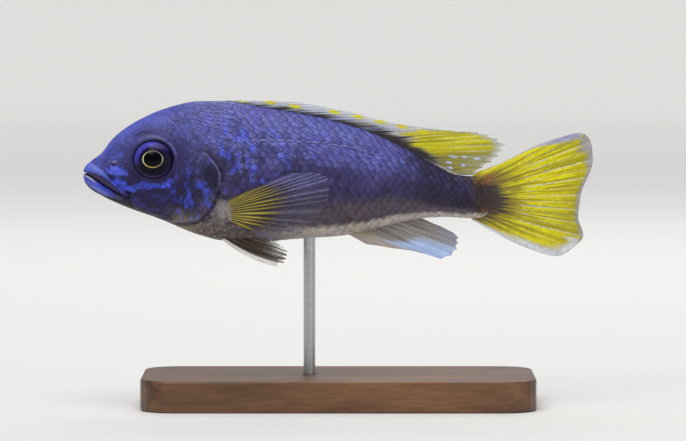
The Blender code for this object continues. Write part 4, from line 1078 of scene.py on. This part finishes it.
def finSheet(name, form, side, toneOf, node):
    keys = form["keys"]
    rays, axes = keys[-1][0], range(len(keys[0][1]))
    roots, tips = ([smoothCurve([(key[0], key[end][k]) for key in keys]) for k in axes] for end in (1, 2))
    work = bmesh.new()
    work.loops.layers.uv.new("OFBake")
    wide, long = rays * form["columns"], form["rows"]
    bmesh.ops.create_grid(work, x_segments=wide, y_segments=long, size=1, calc_uvs=True)
    mesh = meshFrom(work, name)
    flat = meshPoints(mesh)
    number, share = (flat[:, 0] + 1) / 2 * rays, (flat[:, 1] + 1) / 2
    root, tip = (np.stack([curve(number) for curve in curves], -1) for curves in (roots, tips))
    edge = form["tooth"] * (swell(number - np.round(number), 0.22) - 0.5)
    run = (tip - root) * (1 + edge)[:, None]
    point = root + run * share[:, None]
    bend = 4 * share * (1 - share) * form["bow"] * (1 - 2 * number / rays)
    s = point[:, 0] - run[:, 1] * bend
    h = point[:, 1] + run[:, 0] * bend
    out = form["ripple"] * np.sin(number / rays * 3 * math.pi) * share**1.5
    out += 0.06 * np.cos(2 * math.pi * number) * step(0.1, 0.6, share)
    if side:
        spread = form["rightSpread"] if side > 0 else 1.0
        rootOut = keys[0][1][2]
        out = side * (rootOut + (point[:, 2] - rootOut) * spread + out)
    rootGap, tipGap = (
        np.hypot(*[curve(number + 0.5) - curve(number - 0.5) for curve in curves[:2]])
        for curves in (roots, tips)
    )
    spacing = rootGap + (tipGap - rootGap) * share
    ridge, joints = rayRidges(number, share, spacing, form)
    ridge = ridge * (0.3 + 0.7 * step(0.05, 0.3, share))
    thickness = form["membrane"] * (1 - 0.4 * share) + form["ray"] * (1 - 0.6 * share) * ridge * joints
    setPoints(mesh, inFrame(np.stack([s, out, h], -1)))
    rim = np.linspace(0, rays, 4 * rays + 1)
    outline = np.stack([tips[0](rim), tips[1](rim)], -1)
    lengths = np.concatenate([[0], np.cumsum(np.linalg.norm(np.diff(outline, axis=0), axis=1))])
    fromEdge, passed = fromLine(outline, s, h)
    tone, solid = toneOf(
        number=number, share=share, s=s, h=h, within=np.abs(number - np.round(number)) * spacing,
        fromEdge=np.abs(fromEdge), edgeNumber=np.interp(passed * lengths[-1], lengths, rim),
    )
    setTone(mesh, tone, solid)
    made = newPiece(name, mesh, [node])
    group = made.vertex_groups.new(name="thickness")
    most = form["membrane"] + form["ray"]
    for index, thick in enumerate(thickness):
        group.add([index], float(thick / most), "REPLACE")
    shell = thicken(made, most, 0)
    shell.vertex_group = group.name
    shell.use_even_offset = False
    print(name, "made:", len(mesh.polygons), "faces")
    return made


finPaint = {
    "yellow": "#ADA300", "yellowBright": "#D8CE00", "ochre": "#8C7C1E", "olive": "#8B8432", "pale": "#BFC6C6",
    "paleBlue": "#9FB0E4", "brown": "#46301F", "dark": "#261E26", "white": "#CFD1DA", "lilac": "#9C9EC6",
    "grey": "#807D80", "pink": "#BFAFA8", "bead": "#B7C0DC",
    "analGrey": "#8C8682", "analRay": "#B5B0AC", "analOlive": "#8E8A3A", "iceBlue": "#B8D2FF",
    "slate": "#8C90B0", "tailRay": "#D6D9C4", "tailRim": "#8F8C9C",
    "film": "#4B4660", "filmBlue": "#6D6BA8", "rootBrown": "#33241A", "rootOlive": "#6A6420",
    "square": "#2C2238", "golden": "#B8A72E", "lilacRay": "#8F8DC2", "greyRay": "#6E6A78",
    "bareRoot": "#8A827C",
    "umber": "#2A1607", "umberPale": "#4A3526", "dun": "#7F7469", "dunDark": "#3B2C22", "dunRay": "#A39A8E",
    "whiteEdge": "#E4E1DA", "edgeShade": "#8D8680",
}


def dorsalTone(number, share, s, h, within, fromEdge, **rest):
    above = h - bodyLines["back"](s)
    depth = above / np.maximum(above + fromEdge, 0.3)
    thin = grain(41, number * 3.1, share * 2.2)
    fine = grain(42, number * 9, share * 10)
    wisp = grain(43, number * 2.3, share * 3.5)
    soft = step(15.5, 18.0, number)
    yellowed = soft * step(0.16, 0.4, depth + 0.25 * (thin - 0.5))
    yellowed = yellowed * step(80.5, 85.5, s + 0.45 * (above - 3) + 7 * (thin - 0.5))
    olive = step(21.8, 23.2, number) * step(88, 92, s)
    darkBase = step(2.9, 1.1, above + 1.4 * (thin - 0.5)) * step(14, 17, number) * step(91.5, 87.5, s)
    line = swell(within, 0.11) * step(17.4, 18, number)
    blotch, beads = np.zeros(len(number)), np.zeros(len(number))
    wide, high = dorsalFin["blotchSize"]
    for middleS, middleH, strength in dorsalFin["blotches"]:
        leanH = h - middleH + 0.2 * (s - middleS)
        blotch = np.maximum(blotch, strength * swell((s - middleS) / wide, 1) * swell(leanH / high, 1))
    for beadS, beadH, wide, high in dorsalFin["beads"]:
        leanH = h - beadH + 0.12 * (s - beadS)
        beads = np.maximum(beads, step(1.25, 0.75, np.hypot((s - beadS) / wide, leanH / high)))
    tone = painted(ground(number, finPaint["grey"]), finPaint, [
        ("dark", step(0.6, 0.35, thin) * step(0.9, 0.5, depth) * 0.8),
        ("pale", step(0.35, 0.6, depth + 0.5 * (thin - 0.5)) * 0.85),
        ("paleBlue", step(0.55, 0.75, wisp) * 0.5),
        ("dark", step(42, 50, s) * step(1.15, 0.3, above + 1.2 * (wisp - 0.5)) * 0.9),
        ("brown", swell(s - 80, 9) * step(3.0, 0.9, above) * 0.75),
        ("white", step(0.62, 0.9, depth + 0.2 * (wisp - 0.5)) * step(92, 84, s) * 0.7),
        ("white", step(47, 40, s) * step(0.25, 0.6, depth) * 0.6),
        ("yellow", yellowed),
        ("yellowBright", yellowed * step(22.4, 21.0, number) * step(0.3, 0.5, thin + 0.2)),
        ("ochre", soft * step(0.35, 0.7, np.abs(number - np.round(number)) * 2) * 0.35),
        ("olive", olive * (0.45 + 0.45 * share)),
        ("dark", darkBase * 0.92),
        ("pale", step(0.75, 0.35, above) * swell(s - 92.8, 3.4) * 0.7),
        ("yellowBright", np.clip(blotch * 1.6, 0, 1) * step(19.5, 18.5, number)),
        ("pale", line * step(0.35, 0.65, share) * step(24.5, 23, number) * 0.85),
        ("pale", soft * step(0.9, 0.985, share) * step(23.6, 22.0, number) * 0.9),
        ("bead", beads),
    ])
    solid = 1 - 0.42 * olive * (1 - line) * (1 - beads) * step(0.3, 0.8, share)
    solid = solid - 0.35 * step(0.86, 1.0, share) * soft * (1 - line)
    return tone * (0.85 + 0.3 * fine)[:, None], np.clip(solid, 0.2, 1)


def analTone(number, share, within, **rest):
    fine = grain(45, number * 9, share * 5)
    thin = grain(46, number * 4, share * 2)
    line = swell(within, 0.14)
    iced = step(0.42, 0.6, share + 0.05 * (thin - 0.5)) * step(6.2, 4.2, number + 1.6 * (1 - share))
    tone = painted(ground(number, finPaint["analGrey"]), finPaint, [
        ("brown", step(0.62, 0.3, thin) * step(0.75, 0.35, share) * 0.42),
        ("analRay", line * 0.8),
        ("pink", step(2.4, 1.4, number) * 0.75),
        ("analOlive", swell(number - 1.5, 0.8) * swell(share - 0.15, 0.12) * 0.6),
        ("iceBlue", iced * step(1.2, 2.2, number) * (0.9 + 0.1 * line)),
        ("slate", step(4.5, 6.5, number) * step(0.6, 0.9, share) * 0.5),
    ])
    return tone * (0.88 + 0.24 * fine)[:, None], 1 - 0.18 * (1 - line) * step(0.5, 0.9, share)


def tailTone(number, share, s, h, within, fromEdge, edgeNumber):
    fine = grain(47, number * 5, share * 30)
    thin = grain(48, number * 5.3, share * 2.6)
    line = swell(within, 0.11)
    ragged = 0.3 * (thin - 0.5) + 0.12 * (fine - 0.5)
    tone = painted(ground(number, finPaint["yellow"]), finPaint, [
        ("yellowBright", step(0.36, 0.6, thin) * step(1.0, 0.7, share) * 0.9),
        ("ochre", step(0.38, 0.22, thin) * 0.3),
        ("brown", step(0.42, 0.15, share) * step(0.42, 0.28, grain(50, number * 2.7, share * 3)) * 0.6),
        ("ochre", step(0.5, 0.2, share + ragged) * 0.35),
    ])
    beads = step(0.35, 0.55, grain(49, np.round(number) * 7.3, share * 24))
    chain = line * step(0.3, 0.5, share) * np.where(share < 0.68, 0.3 + 0.7 * beads, 0.8)
    chain = chain * np.where(np.round(number) % 2 == 1, 1.0, 0.3)
    # margins: clear grey lilac behind, pale lilac above at the tip, a white band below
    behind = band(edgeNumber, 3.0, 3.8, 17.0, 17.8)
    streaks = grain(55, number * 4.3, share * 1.2)
    depth = (1.0 + 3.6 * step(8.5, 4.0, edgeNumber)) * (0.45 + 1.1 * streaks)
    rear = behind * step(1.25, 0.25, fromEdge / depth)
    over = step(3.6, 3.0, edgeNumber)
    above = over * step(1.1, 0.5, fromEdge / (0.25 + 1.6 * step(112, 124, s)))
    wide = (0.5 + 0.11 * np.maximum(s - 102, 0)) * (1 + 1.0 * (streaks - 0.5) * step(104, 112, s))
    tone = painted(tailRootTone(tone, s, h), finPaint, [
        ("tailRay", chain * band(number, 2.5, 4.0, 17.0, 18.5) * 0.95),
        ("paleBlue", chain * beads * swell(share - 0.52, 0.2) * 0.7),
        ("tailRim", rear * (1 - 0.5 * line) * 0.85),
        ("yellowBright", step(3.8, 3.2, edgeNumber) * step(1.9, 0.6, fromEdge) * step(100, 103, s) * 0.9),
        ("white", over * step(0.5, 0.2, fromEdge) * step(101, 104, s) * 0.6),
        ("lilac", above * step(108, 120, s) * 0.9),
        ("white", step(17.2, 17.8, edgeNumber) * step(1.3, 0.3, fromEdge / np.maximum(wide, 0.3)) * 0.95),
    ])
    solid = 1 - 0.42 * rear * (1 - line) - 0.15 * above
    return tone * (0.86 + 0.28 * fine)[:, None], np.clip(solid, 0, 1)


def pectoralTone(number, share, **rest):
    fine = grain(51, number * 3, share * 16)
    bars = grain(52, np.floor(number + 0.5) * 5.1, share * 13)
    rays = number * 1.5 + 0.35 * share * np.sin(number * 2.6)
    apart = np.abs(rays - np.round(rays)) * 2
    line = swell(apart, 0.4 - 0.08 * share)
    squares = step(0.42, 0.62, bars) * band(share, 0.25, 0.45, 0.6, 0.8) * step(0.3, 0.6, apart)
    own = (0.6 + 0.65 * grain(56, np.round(rays) * 3.7)) * (0.75 + 0.25 * step(0.05, 0.25, share))
    outer = line * step(0.5, 0.75, share)
    tone = painted(ground(number, finPaint["film"]), finPaint, [
        ("rootBrown", step(0.66, 0.4, share) * 0.92),
        ("rootOlive", step(0.5, 0.2, share) * step(3, 8, number) * 0.3),
        ("square", squares * 0.75),
        ("golden", line * step(0.74, 0.34, share + 0.03 * np.maximum(number - 4, 0)) * own),
        ("lilacRay", outer * step(5.5, 3.0, number) * 0.9),
        ("greyRay", outer * step(3.0, 5.5, number) * 0.5),
        ("filmBlue", step(4.6, 2.0, number) * step(0.6, 0.9, share) * 0.6),
        ("bareRoot", step(0.08, 0.02, share)),
    ])
    fading = step(0.2, 0.6, share) * (0.8 + 0.2 * step(4.0, 7, number))
    tips = step(0.65, 1.0, share) * (0.6 + 0.4 * step(3, 6, number))
    solid = 0.97 - 0.76 * (1 - 0.7 * line) * fading - 0.3 * tips
    return tone * (0.9 + 0.2 * fine)[:, None], np.clip(solid, 0.1, 1)


def pelvicTone(number, share, within, **rest):
    fine = grain(53, number * 6, share * 12)
    streak = grain(54, number * 4.6, share * 1.8)
    line = swell(within, 0.13)
    rear = step(2.0, 4.2, number + 1.4 * (share - 0.5) + 1.2 * (streak - 0.5))
    tone = painted(ground(number, finPaint["umber"]), finPaint, [
        ("umberPale", step(0.5, 0.75, streak) * 0.6),
        ("dun", rear * step(0.15, 0.5, share) * 0.85),
        ("dunDark", rear * step(0.62, 0.8, grain(58, number * 5.1, share * 2.2)) * 0.8),
        ("dunRay", line * step(0.45, 0.9, share) * 0.45),
        ("whiteEdge", step(0.75, 0.45, number) * step(0.02, 0.15, share) * 0.97),
        ("edgeShade", swell(number - 0.62, 0.12) * step(0.1, 0.3, share) * 0.5),
    ])
    apart = (1 - line) * step(0.5, 1.2, number)
    clear = 0.75 * step(0.45, 1.0, share + 0.3 * (streak - 0.5)) + 0.35 * rear * step(0.2, 0.6, share)
    return tone * (0.88 + 0.24 * fine)[:, None], np.clip(1 - apart * clear, 0.08, 1)


fins = [
    finSheet("dorsalFin", dorsalFin, 0, dorsalTone, "dorsal_fin"),
    finSheet("analFin", analFin, 0, analTone, "anal_fin"),
    finSheet("tailFin", tailFin, 0, tailTone, "tail_fin"),
    finSheet("pectoralFinLeft", pectoralFin, -1, pectoralTone, "pectoral_fin_left"),
    finSheet("pectoralFinRight", pectoralFin, 1, pectoralTone, "pectoral_fin_right"),
    finSheet("pelvicFinLeft", pelvicFin, -1, pelvicTone, "pelvic_fin_left"),
    finSheet("pelvicFinRight", pelvicFin, 1, pelvicTone, "pelvic_fin_right"),
]


# Materials. Noise scales are in features per metre, in the piece's own space
def noiseOf(tree, scale, detail, stretch=None, **more):
    place = addNode(tree, "ShaderNodeTexCoord").outputs["Object"]
    if stretch:
        place = addNode(tree, "ShaderNodeMapping", {"Scale": stretch}, {"Vector": place}).outputs[0]
    settings = {"Scale": scale, "Detail": detail, **more}
    return addNode(tree, "ShaderNodeTexNoise", settings, {"Vector": place}).outputs[0]


def ranged(tree, value, low, high, fromLow=0.0, fromHigh=1.0):
    settings = {"From Min": fromLow, "From Max": fromHigh, "To Min": low, "To Max": high}
    return addNode(tree, "ShaderNodeMapRange", settings, {"Value": value}).outputs[0]


def timesShade(tree, colour, shade):
    mix = addNode(tree, "ShaderNodeMix", {"data_type": "RGBA", "blend_type": "MULTIPLY", "Factor": 1.0})
    tree.links.new(colour, mix.inputs[6])
    tree.links.new(shade, mix.inputs[7])
    return mix.outputs[2]


def rampOf(tree, value, *stops):
    ramp = addNode(tree, "ShaderNodeValToRGB", links={"Fac": value})
    for element, (position, hexColour) in zip(ramp.color_ramp.elements, stops):
        element.position = position
        element.color = (*linear(hexColour), 1)
    return ramp.outputs[0]


def bumpOf(tree, height, strength, distance):
    settings = {"Strength": strength, "Distance": distance}
    return addNode(tree, "ShaderNodeBump", settings, {"Height": height}).outputs[0]


def newMaterial(name):
    material = bpy.data.materials.new(name)
    material.use_nodes = True
    material.node_tree.nodes.clear()
    return material, material.node_tree


def dress(pieces, material, settings, links):
    # closes the material with its surface and puts it on the pieces
    tree = material.node_tree
    shader = addNode(tree, "ShaderNodeBsdfPrincipled", settings, links)
    addNode(tree, "ShaderNodeOutputMaterial", links={"Surface": shader.outputs[0]})
    for piece in pieces:
        piece.data.materials.clear()
        piece.data.materials.append(material)


# Cast resin, painted by hand and lacquered: satin colour with a clear wet gloss over it
resin, tree = newMaterial("paintedResinSkin")
tone = addNode(tree, "ShaderNodeAttribute", {"attribute_name": "tone"}).outputs
mottle = noiseOf(tree, 1400, 3, Roughness=0.6)
dress((skin, scalesLeft, scalesRight, lineLeft, lineRight), resin, {
    "Coat Weight": 0.05, "Coat Roughness": 0.25, "IOR": 1.33,
}, {
    "Base Color": timesShade(tree, tone["Color"], ranged(tree, mottle, 0.82, 1.18, 0.3, 0.7)),
    "Roughness": ranged(tree, mottle, 0.38, 0.56),
    "Normal": bumpOf(tree, noiseOf(tree, 3600, 2), 0.25, 0.00006),
})

# Blown glass, painted behind: deep dark colour under a hard, mirror-like gloss
glass, tree = newMaterial("paintedGlassEye")
tone = addNode(tree, "ShaderNodeAttribute", {"attribute_name": "tone"}).outputs
dress((eyeLeft, eyeRight), glass, {
    "Roughness": 0.2, "Specular IOR Level": 0.05, "Coat Weight": 0.3, "Coat Roughness": 0.03, "Coat IOR": 1.3,
}, {
    "Base Color": timesShade(tree, tone["Color"], ranged(tree, noiseOf(tree, 2500, 2), 0.7, 1.3)),
})

# Tinted clear resin sheet: coloured rays in a film that thins out towards the tips
film, tree = newMaterial("tintedResinFin")
tone = addNode(tree, "ShaderNodeAttribute", {"attribute_name": "tone"}).outputs
mottle = noiseOf(tree, 1800, 2)
dress(fins, film, {"Coat Weight": 0.1, "Coat Roughness": 0.25, "IOR": 1.4}, {
    "Base Color": timesShade(tree, tone["Color"], ranged(tree, mottle, 0.88, 1.12, 0.3, 0.7)),
    "Roughness": ranged(tree, mottle, 0.3, 0.45),
    "Alpha": tone["Alpha"],
})

# Oiled walnut: brown with long dark grain lines about 1 mm apart, and a dull sheen
walnut, tree = newMaterial("oiledWalnut")
bands = noiseOf(tree, 160, 4, (0.12, 1.0, 1.0), Distortion=0.6)
fibres = noiseOf(tree, 1500, 3, (0.12, 1.0, 1.0))
brown = rampOf(tree, bands, (0.32, "#3B2415"), (0.68, "#7A5232"))
dress([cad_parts["stand_base"]], walnut, {"IOR": 1.5}, {
    "Base Color": timesShade(tree, brown, ranged(tree, fibres, 0.75, 1.15, 0.3, 0.7)),
    "Roughness": ranged(tree, fibres, 0.34, 0.5),
    "Normal": bumpOf(tree, fibres, 0.2, 0.00008),
})

# Stainless steel rod, turned and brushed: fine rings round it, a soft bright line down it
steel, tree = newMaterial("brushedSteel")
lines = noiseOf(tree, 6000, 2, (0.05, 0.05, 1.0))
dress([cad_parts["stand_rod"]], steel, {"Metallic": 1.0}, {
    "Base Color": rampOf(tree, lines, (0.0, "#9A9C9E"), (1.0, "#C9CBCC")),
    "Roughness": ranged(tree, lines, 0.22, 0.42),
    "Normal": bumpOf(tree, lines, 0.15, 0.00003),
})
print("materials made")

# Studio: a pale painted sweep and soft lights
studio = {"floorColour": "#D8D7D4", "flat": 2.3, "bend": 0.5, "bendSteps": 16, "sides": 96}
profile = [(0, 0)]
for k in range(studio["bendSteps"] + 1):
    turn = math.pi / 2 * k / studio["bendSteps"]
    profile.append((studio["flat"] + studio["bend"] * math.sin(turn), studio["bend"] * (1 - math.cos(turn))))
floor = bpy.data.objects.new("studioFloor", turnedMesh("studioFloor", profile, studio["sides"]))
if any(face.normal.z < 0 for face in floor.data.polygons):
    floor.data.flip_normals()
bpy.context.scene.collection.objects.link(floor)
# Matt emulsion on board: even and pale, with a faint roller grain
emulsion, tree = newMaterial("mattEmulsion")
dress([floor], emulsion, {"Base Color": (*linear(studio["floorColour"]), 1), "Roughness": 0.8}, {
    "Normal": bumpOf(tree, noiseOf(tree, 400, 2), 0.05, 0.0001),
})

# A broad soft light from above, as even over the floor as an overcast sky, and three round soft boxes
lightAim = Vector((0, 0, 0.05))
lights = {
    "skyLight": {"place": (-0.08, -0.3, 1.0), "angle": math.radians(50), "energy": 2.3},
    "keyLight": {"place": (-0.45, -0.8, 0.7), "size": 0.4, "energy": 2.4, "color": linear("#FFFFFF")},
    "fillLight": {"place": (0.7, -0.9, 0.3), "size": 0.7, "energy": 1.0, "color": linear("#F2F4FF")},
    "backLight": {"place": (0.1, 0.7, 0.7), "size": 0.6, "energy": 2.2, "color": linear("#FFFFFF")},
}
for name, form in lights.items():
    lamp = bpy.data.lights.new(name, "SUN" if "angle" in form else "AREA")
    if lamp.type == "AREA":
        lamp.shape = "DISK"
    stood = bpy.data.objects.new(name, lamp)
    stood.location = form.pop("place")
    stood.rotation_euler = (lightAim - stood.location).to_track_quat("-Z", "Y").to_euler()
    bpy.context.scene.collection.objects.link(stood)
    for setting, value in form.items():
        setattr(lamp, setting, value)
world = bpy.data.worlds.new("softRoom")
world.use_nodes = True
room = world.node_tree.nodes["Background"].inputs
room["Color"].default_value = (*linear("#E4E6EA"), 1)
room["Strength"].default_value = 0.35
bpy.context.scene.world = world
print("studio lit")
